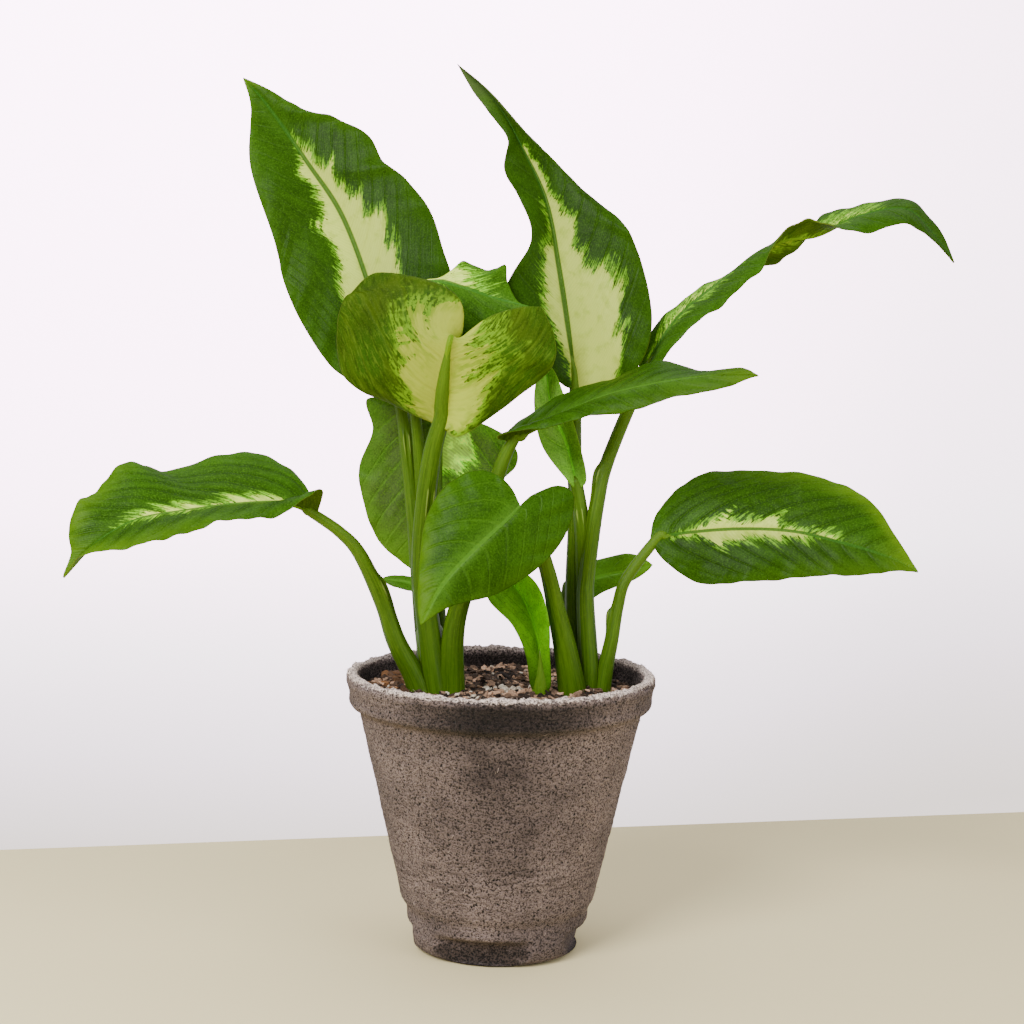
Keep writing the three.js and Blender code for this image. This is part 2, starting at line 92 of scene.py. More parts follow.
# Each blade, in millimetres.
#   rib, left, right: its midrib from base to tip and both margins, as in the CAD
#   leftMiddle, rightMiddle: the middle of each half, where it isn't a plain arch
#   wave: the height, count and phase of its waves, and ruffle: the height of the finer ones
#   ridge: how far the midrib stands out below, and rib_width: how wide it is
#   slant: how the marking's streaks leave the midrib and bend, and veins: the same for the side veins
#   spacing: the gap between side veins, and quilt: how much the blade rises between them and how dark the
#       painted shade in its hollows is
#   cream: the marking's edge on each side, as (place along the midrib, reach from it)
#   creamy: how solid the marking is, feather: how long its feathers are, lime: how bright its fringe is
#   kind: which of LEAF_KINDS it is, and slot: the name of its material's place, if another
#   shade: how bright its left and right half are, partly their own tone and partly painted light and shade,
#       and ends: that at its base and tip
#   tip: the yellowing there, as (share of the length, strength); below 0 it is a grey, partly a dull tone and
#       partly a painted sheen
#   margins: how far the yellowing follows the left and right margin
BLADES = {
    "low_left": {
        "rib": ((-64, -18, 156), (-73, -21, 160), (-90, -27, 160), (-107, -33, 158), (-123, -38, 155),
            (-136, -42, 147), (-146, -44, 136)),
        "left": ((-62, -25, 165), (-74, -32, 158), (-91, -38, 155), (-106, -45, 152), (-121, -50, 147),
            (-137, -49, 145)),
        "right": ((-69, -11, 165), (-77, -8, 173), (-89, -8, 176), (-102, -12, 174), (-118, -18, 171),
            (-126, -22, 173), (-133, -27, 170), (-138, -31, 164), (-142, -35, 161), (-145, -39, 152),
            (-144, -42, 144)),
        "wave": (1.2, 4, 0.1),
        "ridge": 1.2,
        "cream": {
            "left": ((38, -2), (46, 1), (50, 0), (55, 0.4), (62, -0.5), (66, -2)),
            "right": ((14, -2), (18, 1.5), (24, 3), (26, 0.5), (28.4, 4.6), (32, 1), (40, 1.4), (44, 3.2),
                (47, 0.8), (50, 3.2), (52.3, 0.8), (56, 2.4), (60, 0.8), (67, 0), (70, -2)),
        },
        "veins": (0.9, 1.2),
        "quilt": 2.4,
        "rib_width": 0.9,
        "shade": (0.95, 1.05),
        "tip": (0.22, 0.9),
    },
    "tall_left": {
        "rib": ((-40, 6, 203), (-49, 12, 233), (-60, 20, 260), (-74, 27, 280), (-88, 34, 299),
            (-98, 38, 310)),
        "left": ((-47, 3, 199), (-60, 1, 205), (-71, 5, 219), (-79, 8, 235), (-83, 12, 250), (-93, 21, 277),
            (-94, 30, 298)),
        "right": ((-29, 4, 206), (-20, 6, 221), (-19, 9, 235), (-23, 11, 248), (-28, 13, 262),
            (-37, 18, 273), (-45, 19, 279), (-51, 23, 289), (-63, 27, 295), (-72, 28, 297),
            (-80, 32, 301), (-87, 35, 305)),
        "wave": (1, 4, 0.3),
        "ridge": 1.4,
        "cream": {
            "left": ((0, 8), (18, 19), (26, 15), (31, 11.5), (40, 10), (43, 14), (46, 16.5), (47.5, 9),
                (50, 8.3), (56, 6), (64, 3), (67, 5.5), (70, 8), (74, 2.6), (78, 0.4), (84, -2)),
            "right": ((0, 9), (22, 14.3), (24, 15.6), (29, 11), (31, 15), (34, 17), (37, 12), (42, 8.3),
                (48, 10), (50, 6.4), (58, 5), (62, 6), (64, 11), (66, 4.5), (73, 3), (77, 3.5),
                (81, 1), (86, 0.4), (89, -2)),
        },
        "veins": (0.9, 0.9),
        "quilt": 0.7,
        "rib_width": 2.3,
        "shade": (0.8, 0.68),
        "ends": (1, 1.25),
        "tip": (0.1, 0.8),
        "margins": (0.1, 0.1),
    },
    "folded": {
        "rib": ((-22, -16, 187), (-21, -23, 202), (-19, -28, 216), (-18, -22, 213), (-17, -16, 201),
            (-16, -14, 192)),
        "left": ((-15, -19, 184), (4, -12, 197), (17, -8, 210), (12, -8, 228), (4, -6, 220),
            (-8, -10, 201)),
        "right": ((-35, -13, 192), (-56, -7, 203), (-59, -5, 221), (-55, -7, 231), (-42, -7, 238),
            (-27, -11, 204)),
        "leftMiddle": ((-18, -21, 185), (-8, -21, 196), (-1, -20, 213), (-7, -23, 229), (-9, -14, 217),
            (-12, -13, 198)),
        "rightMiddle": ((-28, -18, 190), (-37, -21, 199), (-39, -20, 220), (-4, -25, 243),
            (-26, -14, 224), (-21, -13, 199)),
        "wave": (0.8, 3, 0),
        "ridge": 2.4,
        "cream": {
            "left": ((-8, 8), (0, 8), (3.5, 20), (5, 11), (7.4, 21), (10, 12), (15.6, 13), (22, 11), (26, 8),
                (30, 20), (34, 10)),
            "right": ((-4, 6), (4, 12), (5, 15), (9, 14.5), (10.3, 20.5), (11.8, 14), (12.4, 24), (14.7, 13),
                (21.7, 16), (23, 12), (26, 20), (30, 18), (36, 10)),
        },
        "slant": (0.4, 0.4),
        "veins": (0.5, 0.1),
        "feather": 3.8,
        "lime": 1.3,
        "quilt": 0.7,
        "shade": (1.12, 0.85),
        "rib_width": 1.9,
    },
    "behind": {
        "rib": ((-40, 0, 233), (-27, 1, 237), (-16, 2, 235), (-4, 1, 231), (10, -2, 228)),
        "left": ((-32, 4, 237), (-21, 7, 238), (-16, 8, 244), (-7, 7, 241), (-1, 6, 243), (0, 4, 237),
            (4, 1, 230)),
        "right": ((-37, -1, 226), (-26, -2, 218), (-13, -2, 216), (-1, -2, 221), (6, -2, 225)),
        "wave": (0, 3, 0),
        "ridge": 0.8,
        "cream": {
            "left": ((2, 2), (8, 6), (16, 7), (24, 3), (34, -1), (40, -4)),
            "right": ((2, -4), (8, -1), (14, 0), (18, -3)),
        },
        "creamy": 0.5,
        "feather": 1.8,
        "lime": 1.1,
        "shade": (1.15, 1.15),
    },
    "tall_middle": {
        "rib": ((25, 8, 199), (22, 11, 221), (18, 15, 244), (13, 20, 267), (4, 26, 286), (-6, 32, 303),
            (-20, 35, 316)),
        "left": ((18, 6, 203), (5, 7, 220), (-1, 8, 234), (8, 10, 252), (4, 14, 266), (-2, 17, 277),
            (-1, 22, 288), (-8, 28, 298), (-14, 32, 306)),
        "right": ((34, 4, 199), (47, 1, 209), (51, 3, 225), (47, 7, 245), (40, 11, 259), (29, 15, 268),
            (11, 22, 285), (-7, 30, 305)),
        "wave": (1, 4, 0.2),
        "ridge": 1.4,
        "cream": {
            "left": ((0, 1), (5, 3), (13, 4), (16, 5), (20, 6.5), (25, 7), (31, 6), (42, 5), (45, 5.5),
                (50, 1), (60, 1), (64, 0)),
            "right": ((-30, 20), (-11, 25), (-8, 31), (-5, 27), (0, 22), (3.5, 28), (8.5, 28), (15, 23),
                (19, 24), (24, 20), (30, 13.5), (37, 12), (43, 7.5), (48, 11.5), (53, 8.6), (57, 4.6),
                (60, 6.8), (66, 2.6), (69, 5.2), (73, 3.7), (76, 4.7), (81, 2.4), (85, 3.3), (88, 0)),
        },
        "slant": (1.0, 0.5),
        "spacing": 12,
        "quilt": 0.4,
        "rib_width": 2.3,
        "shade": (0.6, 0.66),
        "ends": (1, 1.35),
        "tip": (0.3, -0.9),
        "margins": (0, 0.1),
    },
    "heart": {
        "rib": ((6, -30, 161), (1, -32, 156), (-10, -36, 146), (-20, -40, 135), (-27, -43, 122)),
        "left": ((10, -27, 165), (19, -25, 168), (24, -25, 164), (22, -27, 153), (14, -30, 142),
            (-1, -34, 132), (-17, -40, 128)),
        "right": ((1, -27, 169), (-8, -25, 173), (-19, -26, 168), (-26, -30, 157), (-28, -36, 141),
            (-28, -41, 128)),
        "wave": (0.5, 3, 0),
        "ridge": 1,
        "kind": "green_leaf",
        "slant": (0.5, 0.9),
        "spacing": 8,
        "quilt": 0.5,
        "rib_width": 1.9,
        "shade": (0.74, 0.84),
        "tip": (0.2, 0.6),
        "margins": (0.2, 1),
    },
    "hanging": {
        "rib": ((-24, 12, 188), (-26, 16, 169), (-27, 19, 147), (-27, 20, 129)),
        "left": ((-10, 17, 187), (2, 20, 180), (4, 20, 171), (-9, 20, 158), (-21, 20, 137)),
        "right": ((-49, 17, 195), (-48, 19, 183), (-53, 21, 169), (-51, 22, 156), (-46, 22, 143),
            (-37, 21, 135)),
        "wave": (0.8, 3, 0.5),
        "ridge": 1,
        "cream": {
            "left": ((-6, 10), (0, 15), (5, 17), (9, 11), (13, 12), (17, 4), (22, 0)),
            "right": ((2, 1), (12, 2), (16, 0)),
        },
        "creamy": 0.5,
        "lime": 0.4,
        "quilt": 0.5,
        "kind": "dull_leaf",
        "slot": "variegated_leaf",
        "shade": (3.4, 1.4),
        "tip": (0.5, 0.45),
        "margins": (0, 0.5),
    },
    "young": {
        "rib": ((14, -12.5, 94.5), (14, -12.5, 103), (12.5, -12.5, 113.5), (7.5, -13, 127),
            (0, -15, 137)),
        "left": ((10.5, -13.5, 96.5), (8.5, -16, 108), (3.5, -19, 119), (-4.5, -21, 127.5),
            (-5, -20, 134.5)),
        "right": ((17.5, -13.5, 96.5), (17, -16, 108), (16.5, -20, 119.5), (13.5, -22, 131),
            (8, -20, 137)),
        "wave": (0, 2, 0),
        "ridge": 0.8,
        "kind": "young_leaf",
        "spacing": 7,
        "quilt": 0.3,
        "shade": (1.6, 2.3),
        "ends": (0.42, 1),
        "ruffle": 0.1,
    },
    "small_right": {
        "rib": ((22, 14, 127), (35, 19, 131), (46, 23, 133), (55, 26, 135)),
        "left": ((26, 19, 135), (35, 24, 137), (46, 27, 139), (52, 27, 137)),
        "right": ((27, 13, 121), (37, 17, 126), (48, 21, 130), (53, 24, 133)),
        "wave": (0, 2, 0),
        "ridge": 0.6,
        "kind": "green_leaf",
        "spacing": 5,
        "quilt": 0.8,
        "ruffle": 0.1,
        "tip": (0.95, 0.4),
        "shade": (1.6, 1.6),
    },
    "small_left": {
        "rib": ((-28, 10, 127), (-35, 11, 129), (-44, 12, 130)),
        "left": ((-31, 8, 126), (-37, 9, 127), (-41, 11, 128)),
        "right": ((-31, 13, 130), (-36, 14, 131), (-41, 13, 131)),
        "wave": (0, 2, 0),
        "ridge": 0.4,
        "kind": "green_leaf",
        "spacing": 5,
        "ruffle": 0.1,
        "shade": (1.3, 1.3),
    },
    "mid_right": {
        "rib": ((1, -13, 182), (14, -17, 189), (32, -23, 198), (49, -29, 203), (65, -34, 206),
            (84, -38, 207)),
        "left": ((2, -8, 186), (15, -7, 196), (34, -8, 203), (50, -13, 210), (67, -24, 208),
            (79, -34, 209)),
        "right": ((-2, -19, 184), (14, -24, 188), (32, -29, 192), (51, -34, 197), (73, -39, 203)),
        "wave": (0.8, 4, 0.4),
        "ridge": 1,
        "ruffle": 0.2,
        "quilt": 1.8,
        "kind": "green_leaf",
        "slant": (1.2, 0.8),
        "spacing": 8,
        "rib_width": 1.1,
        "shade": (0.7, 0.7),
        "tip": (0.25, 0.9),
        "margins": (0, 0.3),
    },
    "rolled": {
        "rib": ((26, 2, 164), (22, 3, 180), (16, 2, 194), (14, 1, 209)),
        "left": ((22, -1, 168), (13, -2, 180), (10, -3, 194), (11, -1, 205)),
        "right": ((29, -1, 169), (25, -2, 185), (20, -3, 199), (17, -1, 206)),
        "wave": (0, 2, 0),
        "ridge": 0.8,
        "ruffle": 0.1,
        "kind": "dull_leaf",
        "slot": "young_leaf",
        "spacing": 7,
        "shade": (3.1, 2.5),
        "margins": (0, 0.2),
    },
    "long_right": {
        "rib": ((44, 5, 196), (53, 8, 214), (62, 11, 227), (75, 14, 238), (88, 17, 249), (99, 19, 254),
            (111, 21, 256), (126, 24, 263), (143, 27, 266), (153, 28, 258), (162, 28, 247)),
        "left": ((51, 12, 220), (61, 17, 230), (74, 20, 239), (92, 23, 244), (104, 23, 250),
            (114, 29, 264), (128, 31, 267), (145, 33, 270), (156, 31, 260)),
        "right": ((54, 2, 209), (64, 3, 222), (76, 5, 230), (88, 10, 242), (99, 14, 258),
            (111, 14, 260), (126, 17, 257), (142, 21, 260), (153, 25, 255)),
        "wave": (0.6, 4, 0),
        "ridge": 1,
        "cream": {
            "left": ((8, -2), (14, 2), (24, 4), (34, 4), (44, 2), (60, 0), (75, 2), (90, 5), (104, 4),
                (112, 1), (118, -4)),
            "right": ((20, -3), (26, -1), (40, 0), (60, -4), (80, -2), (100, 0), (108, -4)),
        },
        "creamy": 0.15,
        "feather": 1.4,
        "lime": 1.3,
        "slant": (1.2, 0.4),
        "shade": (0.88, 0.88),
        "ends": (1, 0.65),
        "tip": (0.03, 0.4),
        "margins": (0, 0),
    },
    "right": {
        "rib": ((52, 2, 147), (66, 0, 150), (83, -4, 152), (101, -9, 152), (117, -14, 149), (132, -18, 145),
            (143, -21, 140)),
        "left": ((54, 6, 155), (61, 8, 164), (74, 9, 171), (93, 6, 172), (113, 0, 170), (127, -7, 164),
            (137, -15, 150)),
        "right": ((57, -2, 140), (69, -6, 133), (85, -11, 134), (104, -16, 137), (120, -19, 138),
            (134, -21, 140)),
        "wave": (0.9, 4, 0.6),
        "ridge": 1.2,
        "cream": {
            "left": ((10, -1), (14.5, 0), (20, 2.3), (23.4, 5.4), (24.6, 1.6), (25.5, 10.4), (27, 3.2),
                (31, 2.6), (33, 3.8), (36, 2.3), (38, 4.5), (41, 6), (43, 1.6), (49, 0.5), (53.5, 0.8),
                (58, 2), (62, 0.3), (66, -1)),
            "right": ((8, -1), (13.6, 1.6), (20, 2.2), (22.7, 8), (25.5, 3.6), (33.4, 3.8), (38, 2.5),
                (42, 5.2), (45, 2.2), (49, 1.7), (54, 0), (57, -1)),
        },
        "veins": (0.8, 1.5),
        "quilt": 2.2,
        "rib_width": 1.3,
        "shade": (0.88, 0.7),
        "tip": (0.25, 0.85),
        "margins": (0.95, 0.3),
    },
}

# Each stem: its crown, and the route and end radii of each stalk. A sheath is (the way it opens in
# degrees, where it ends, how high its edges stand), and reach is where the stalk follows the midrib.
STEMS = {
    "left": {
        "crown": {"foot": (-21, -3), "top": (-26, -4), "radius": 8, "height": 28},
        "stalks": {
            "low_left": {
                "route": ((-27, -8, 89), (-31, -9, 99.5), (-37, -11, 111.5), (-41.5, -12, 124.5),
                    (-49.5, -15, 142), (-56.5, -17, 150)),
                "radii": (4.3, 1.5),
                "sheath": (20, 0.45, 0.7),
            },
            "tall_left": {
                "route": ((-23.5, -2, 88), (-27.4, 0, 110), (-29.8, 2, 131), (-32.2, 4, 155),
                    (-35, 6, 178.5), (-37, 7, 192)),
                "radii": (3.4, 1.9),
                "sheath": (80, 0.55, 0.5),
            },
            "folded": {
                "route": ((-21.5, -8, 89), (-25, -8, 111.5), (-28, -9, 136), (-27.5, -11, 156.5),
                    (-25, -14, 177)),
                "radii": (4.8, 2.1),
                "sheath": (60, 0.4, 0.3),
                "reach": (0.1, 0.2, 0.3, 0.4),
            },
            "behind": {
                "route": ((-22.5, 3, 87), (-27, 4, 123.5), (-29, 3, 159.5), (-31, 0, 184.5),
                    (-34.5, -2, 212.5)),
                "radii": (3, 1.4),
            },
            "hanging": {
                "route": ((-20.5, 7, 86.5), (-23, 8, 123), (-24, 9, 159)),
                "radii": (2.8, 1.5),
                "sheath": (90, 0.6, 0.5),
            },
            "small_left": {
                "route": ((-22.5, 5, 86.5), (-24.5, 7, 109)),
                "radii": (2.2, 1.1),
            },
            "mid_right": {
                "route": ((-17, -8, 89.5), (-17, -10, 112), (-14.3, -11, 126), (-7.5, -13, 146),
                    (-2, -13, 170.5)),
                "radii": (4.8, 1.6),
                "sheath": (0, 0.5, 0.5),
            },
        },
    },
    "middle": {
        "crown": {"foot": (14.5, -14), "top": (13.5, -10), "radius": 4.4, "height": 22},
        "stalks": {
            "young": {
                "route": ((14.5, -12, 88),),
                "radii": (3, 2.4),
            },
        },
    },
    "right": {
        "crown": {"foot": (29, -1), "top": (29, -1), "radius": 7.4, "height": 14},
        "stalks": {
            "tall_middle": {
                "route": ((27.5, 2, 88), (25.5, 4, 124.5), (25.5, 6, 153), (25, 7, 180)),
                "radii": (3.4, 1.7),
                "sheath": (165, 0.5, 0.8),
            },
            "heart": {
                "route": ((26, -7, 90), (22.5, -10, 109), (19, -13, 123.5), (15.5, -18, 138),
                    (11, -24, 151)),
                "radii": (5.1, 1.9),
                "sheath": (150, 0.8, 0.8),
                "reach": (),
            },
            "small_right": {
                "route": ((26.5, 5, 87.5), (23, 9, 109.5)),
                "radii": (2.6, 1.2),
            },
            "rolled": {
                "route": ((30, 1, 88.5), (29, 2, 125), (28, 2, 150)),
                "radii": (3.4, 2.2),
                "sheath": (100, 0.5, 0.25),
            },
            "long_right": {
                "route": ((31, -3, 89), (31, -3, 103), (29.5, -2, 125), (30, -1, 135.5),
                    (33, 1, 160), (36.5, 3, 175)),
                "radii": (3.8, 2),
                "sheath": (150, 0.62, 0.6),
            },
            "right": {
                "route": ((35.5, -3, 89), (37, -3, 101), (39, -3, 111.5), (41, -2, 124),
                    (44, -1, 133.5)),
                "radii": (3.2, 1.6),
                "sheath": (180, 0.42, 0.8),
            },
        },
    },
}
NO_SHEATH = (90, 0.4, 0)

# The kinds of leaf: what differs from the set colours, and from the set light that passes a blade
LEAF_KINDS = {
    "variegated_leaf": ({}, None),
    "green_leaf": ({
        "Deep": (0.022, 0.074, 0.001),
        "Green": (0.045, 0.138, 0.002),
        "Rib": (0.1, 0.26, 0.02),
        "Vein strength": 0.3,
    }, None),
    # Paler greens, partly the young blade's own tone and partly painted light shining through it
    "young_leaf": ({
        "Deep": (0.065, 0.17, 0.002),
        "Green": (0.1, 0.27, 0.002),
        "Olive": (0.08, 0.18, 0.002),
        "Rib": (0.14, 0.32, 0.01),
    }, 0.4),
    "dull_leaf": ({
        "Deep": (0.034, 0.06, 0.012),
        "Green": (0.062, 0.102, 0.028),
        "Cream": (0.1, 0.14, 0.04),
        "Rib": (0.1, 0.26, 0.02),
        "Vein strength": 0.25,
    }, None),
}

# What each input of the leaf marks is called on a blade's mesh
LEAF_ATTRIBUTES = {
    "Place": "leaf_place",
    "Marks": "leaf_marks",
    "Tint": "leaf_tint",
    "Form": "leaf_form",
    "Face": "leaf_face",
}

# The table: two places on its far edge, how far it goes on past them, and its front corners
TABLE_EDGE = ((-208, 111), (242, 206))
TABLE_REACH = 1500
TABLE_FRONT = ((1800, -1700), (-1800, -1700))

# The sweep: its level, half its width, and its bend's start, radius and top
SWEEP_LEVEL = -1.2
SWEEP_SIDE = 3500
BEND_START = 1300
BEND_RADIUS = 900
SWEEP_TOP = 3600
# Its painted glow where the metres back and up add to so much
SWEEP_GLOW = (
    (0.1, (1.85, 1.65, 1.55)),
    (0.3, (2.9, 2.5, 2.75)),
    (0.6, (4.2, 3.6, 4.0)),
    (1.1, (6.5, 4.9, 6.0)),
    (1.9, (9.0, 6.2, 8.4)),
    (2.8, (10.5, 7.4, 9.9)),
)

# Each soft light: its place, what it points at and its size in metres, and its colour
LIGHTS = {
    "key": ((-0.62, -1.0, 0.92), (0, 0, 0.15), (0.6, 0.6), (1, 0.985, 0.96)),
    "fill": ((1.3, -1.0, 0.7), (0, 0, 0.15), (1.2, 1.2), (1, 1, 1)),
    "top": ((0.1, 0.35, 1.6), (0, 0.05, 0.1), (1.4, 1.0), (1, 1, 1)),
    "backdrop": ((0, 0.7, 2.1), (0, 1.9, 0.3), (3.0, 0.6), (0.98, 0.95, 1)),
}
ROOM_COLOUR = (0.95, 0.93, 0.97, 1)
ROOM_STRENGTH = 0.6

CAMERA_SIDE = 0.00293
SENSOR_WIDTH = 36

# How thickly threads grow on the pot's wall and rim
WALL_THREADS = 0.3
RIM_THREADS = 3.5
# How far crumbs stay clear of the pot, where the rusty bark ends, and the heap of perlite (x, y, radius)
SOIL_CLEAR = 2.5
RUST_EDGE = -32
PERLITE_HEAP = (1, -1, 6.5)


def curve(points):
    """The line through points, as a function from 0 to 1. It bends as the CAD's curves do."""
    inner = np.array(points, float)
    count = len(inner)
    ends = np.vstack([2 * inner[0] - inner[1], inner, 2 * inner[-1] - inner[-2]])

    def at(t):
        place = (count - 1) * np.asarray(t, float)
        i = np.clip(np.floor(place).astype(int), 0, count - 2)
        w = (place - i)[..., None]
        before, start, end, after = ends[i], ends[i + 1], ends[i + 2], ends[i + 3]
        out, into = 0.5 * (end - before), 0.5 * (after - start)
        square = (3 * (end - start) - 2 * out - into) * w ** 2
        return start + out * w + square + (2 * (start - end) + out + into) * w ** 3

    return at


def unit(vectors):
    """The vectors, each 1 long."""
    return vectors / (np.linalg.norm(vectors, axis=-1, keepdims=True) + 1e-12)


def ease(value, low, high):
    """0 below low, 1 above high and smooth between them."""
    part = np.clip((np.asarray(value, float) - low) / (high - low), 0, 1)
    return part * part * (3 - 2 * part)


def wander(points, size, seed=0.0):
    """Smooth noise from -1 to 1 at each point, with lumps about size across."""
    shift = Vector((seed, 2.7 * seed, -1.3 * seed))
    return np.array([noise.noise(Vector(p) / size + shift) for p in points])


def new_mesh(name, points, faces, attributes=None):
    """An object of that mesh, whose points are in millimetres, with its named attributes."""
    mesh = bpy.data.meshes.new(name)
    mesh.from_pydata((np.asarray(points) * MM).tolist(), [], faces)
    for key, values in (attributes or {}).items():
        values = np.asarray(values, np.float32)
        vector = values.ndim == 2
        layer = mesh.attributes.new(key, "FLOAT_VECTOR" if vector else "FLOAT", "POINT")
        layer.data.foreach_set("vector" if vector else "value", values.ravel())
    mesh.polygons.foreach_set("use_smooth", [True] * len(mesh.polygons))
    mesh.update()
    piece = bpy.data.objects.new(name, mesh)
    bpy.context.scene.collection.objects.link(piece)
    return piece


def rings_to_faces(rings, sides):
    """Quads between rings of that many points each, with a face over both ends."""
    faces = []
    for i in range(rings - 1):
        low, high = i * sides, (i + 1) * sides
        for j in range(sides):
            k = (j + 1) % sides
            faces.append((low + j, low + k, high + k, high + j))
    faces.append(tuple(range(sides - 1, -1, -1)))
    faces.append(tuple((rings - 1) * sides + j for j in range(sides)))
    return faces


def blade_sheet(blade, t, s):
    """Points of a blade's middle sheet, one row for each t and one column for each s."""
    rib_line = curve(blade["rib"])
    ends = (blade["rib"][0], blade["rib"][-1])
    lines = {side: curve((ends[0], *blade[side], ends[1])) for side in ("left", "right")}
    rib = rib_line(t)
    edges = {side: line(t) for side, line in lines.items()}
    tangent = rib_line(t + STEP) - rib_line(t - STEP)
    upward = unit(np.cross(edges["right"] - edges["left"], tangent))
    height, count, phase = blade["wave"]
    ruffle = blade.get("ruffle", 0.5)
    points = np.empty((len(t), len(s), 3))
    for column, place in enumerate(s):
        away = abs(place)
        side = "left" if place < 0 else "right"
        edge = edges[side]
        drawn = blade.get(side + "Middle")
        if drawn:
            middle = curve(drawn)(t)
        else:
            reach = np.linalg.norm(edge - rib, axis=1, keepdims=True)
            middle = (rib + edge) / 2 + upward * BLADE_ARCH * reach
        start = phase + (LEFT_WAVE_PHASE if place < 0 else 0)
        wave = height * away ** 2 * np.sin(2 * np.pi * (count * t + start)) * np.sin(np.pi * t)
        ripple = np.sin(2 * np.pi * (2.3 * count * t + 2 * start))
        frill = 0.7 * np.sin(2 * np.pi * (4.1 * count * t - start))
        wave = wave + ruffle * away ** 4 * (ripple + frill) * np.sin(np.pi * t)
        points[:, column] = rib * (1 - away) ** 2 + middle * 2 * away * (1 - away) + edge * away ** 2
        points[:, column] += upward * wave[:, None]
    return points, upward


def vein_roots(course, t, away_mm, length):
    """How far along the midrib, in mm, a vein through each place leaves it, if veins slant and bend so."""
    slant, bend = course
    return t[:, None] * length - slant * away_mm - bend * away_mm ** 2 / 30


def cream_reach(blade, roots, away_mm, s):
    """How far inside the cream marking each place is, in mm. It is below 0 outside."""
    reach = np.full(away_mm.shape, -60.0)
    for side, chosen in (("left", s < 0), ("right", s >= 0)):
        outline = blade.get("cream", {}).get(side)
        if outline:
            at, width = np.array(sorted(outline)).T
            found = np.interp(roots[:, chosen], at, width, left=-12, right=-12)
            reach[:, chosen] = found - away_mm[:, chosen]
    return reach


def blade_facing(blade, t, s, sheet, upward, away_mm):
    """Which way each place of a blade faces. Close to the midrib it is the midrib's own way."""
    along = blade_sheet(blade, t + STEP, s)[0] - blade_sheet(blade, t - STEP, s)[0]
    across = np.empty_like(sheet)
    for column, place in enumerate(s):
        low, high = (place - STEP, place) if place > 1 - STEP else (place, place + STEP)
        pair = blade_sheet(blade, t, np.array([low, high]))[0]
        across[:, column] = pair[:, 1] - pair[:, 0]
    part = np.clip(away_mm / NORMAL_REACH, 0, 1)[..., None]
    return unit(upward[:, None] * (1 - part) + unit(np.cross(across, along)) * part)


def blade_tones(blade, t, s, edge_mm):
    """How yellow each place of a blade is, and how bright: partly its own tone, partly painted light and
    shade.
    """
    share, strength = blade.get("tip", (0.12, 0))
    margins = np.where(s < 0, *blade.get("margins", (0.5, 0.5)))
    at_margin = margins * ease(t, 0.3, 0.8)[:, None] * (1 - ease(edge_mm, 0, 9))
    yellow = np.maximum(ease(t, 1 - share, 1)[:, None], at_margin) * strength
    left, right = blade.get("shade", (1, 1))
    low, high = blade.get("ends", (1, 1))
    shade = left + (right - left) * ease(s, -0.12, 0.12)[None]
    shade = shade * (low + (1 - low) * ease(t, 0.08, 0.5) + (high - 1) * ease(t, 0.6, 0.95))[:, None]
    return yellow, shade


def leaf_piece(name, blade, settings):
    """A blade as one closed thin shell, with its marks as attributes."""
    half = np.array(HALF_COLUMNS)
    s = np.concatenate([-half[:0:-1], half])
    t = np.linspace(0.004, 0.998, settings.rows)
    sheet, upward = blade_sheet(blade, t, s)
    rib = sheet[:, len(half) - 1]
    away_mm = np.linalg.norm(sheet - rib[:, None], axis=2)
    normal = blade_facing(blade, t, s, sheet, upward, away_mm)
    width = away_mm[:, [0, -1]][:, [0] * (len(half) - 1) + [1] * len(half)]
    edge_mm = width - away_mm

    length = np.linalg.norm(np.diff(rib, axis=0), axis=1).sum()
    course = blade.get("slant", VEIN_COURSE)
    roots = vein_roots(blade.get("veins", course), t, away_mm, length)
    reach = cream_reach(blade, vein_roots(course, t, away_mm, length), away_mm, s)
    spacing = blade.get("spacing", VEIN_SPACING)

    open_part = ease(away_mm, 1, 5) * ease(edge_mm, 0, 4)
    pillow = np.sqrt(np.abs(np.sin(np.pi * roots / spacing)) + 0.02) - 0.75
    quilting = settings.quilting / MM * blade.get("quilt", 1)
    sheet = sheet + normal * (quilting * pillow * open_part)[..., None]
    thick = settings.thickness / MM / 2 * np.sqrt(np.clip(1 - np.abs(s) ** 10, 0, 1))[None, :, None]
    taper = 1 - RIB_TAPER * t[:, None]
    rib_width = blade.get("rib_width", 1.5) * (0.35 + 0.65 * taper)
    ridge = blade["ridge"] * taper * np.exp(-(away_mm / rib_width) ** 2)
    groove = 0.25 * np.exp(-(away_mm / (0.7 * rib_width)) ** 2)
    upper = sheet + normal * (thick - groove[..., None] * (thick > 0))
    lower = sheet - normal * (thick + ridge[..., None])
    loop = np.concatenate([upper, lower[:, -2:0:-1]], axis=1)
    rows, sides = loop.shape[:2]
    around = np.concatenate([np.arange(len(s)), np.arange(len(s) - 2, 0, -1)])

    def marks(*values):
        """A vector for each point round the shell, of values given for the sheet."""
        whole = [np.broadcast_to(value, away_mm.shape) for value in values]
        return np.stack([value[:, around].ravel() for value in whole], axis=1)

    under = np.concatenate([np.zeros(len(s)), np.ones(len(s) - 2)])
    under[[0, len(s) - 1]] = 0.5
    # Its last value sets how dark the painted shade in the blade's hollows is, along with the quilting
    face = marks(0.0, blade.get("creamy", 1.0), blade.get("quilt", 1.0))
    face[:, 0] = np.tile(under, rows)
    side = np.where(s < 0, -1.0, 1.0)
    pattern_seed = float(sum(map(ord, name)) % 89)
    return new_mesh("blade_" + name, loop.reshape(-1, 3), rings_to_faces(rows, sides), {
        "leaf_place": marks(roots / spacing, roots, side),
        "leaf_marks": marks(away_mm, edge_mm, reach),
        "leaf_tint": marks(*blade_tones(blade, t, s, edge_mm), pattern_seed),
        "leaf_face": face,
        "leaf_form": marks(rib_width, blade.get("feather", 1.0), blade.get("lime", 1.0)),
    })


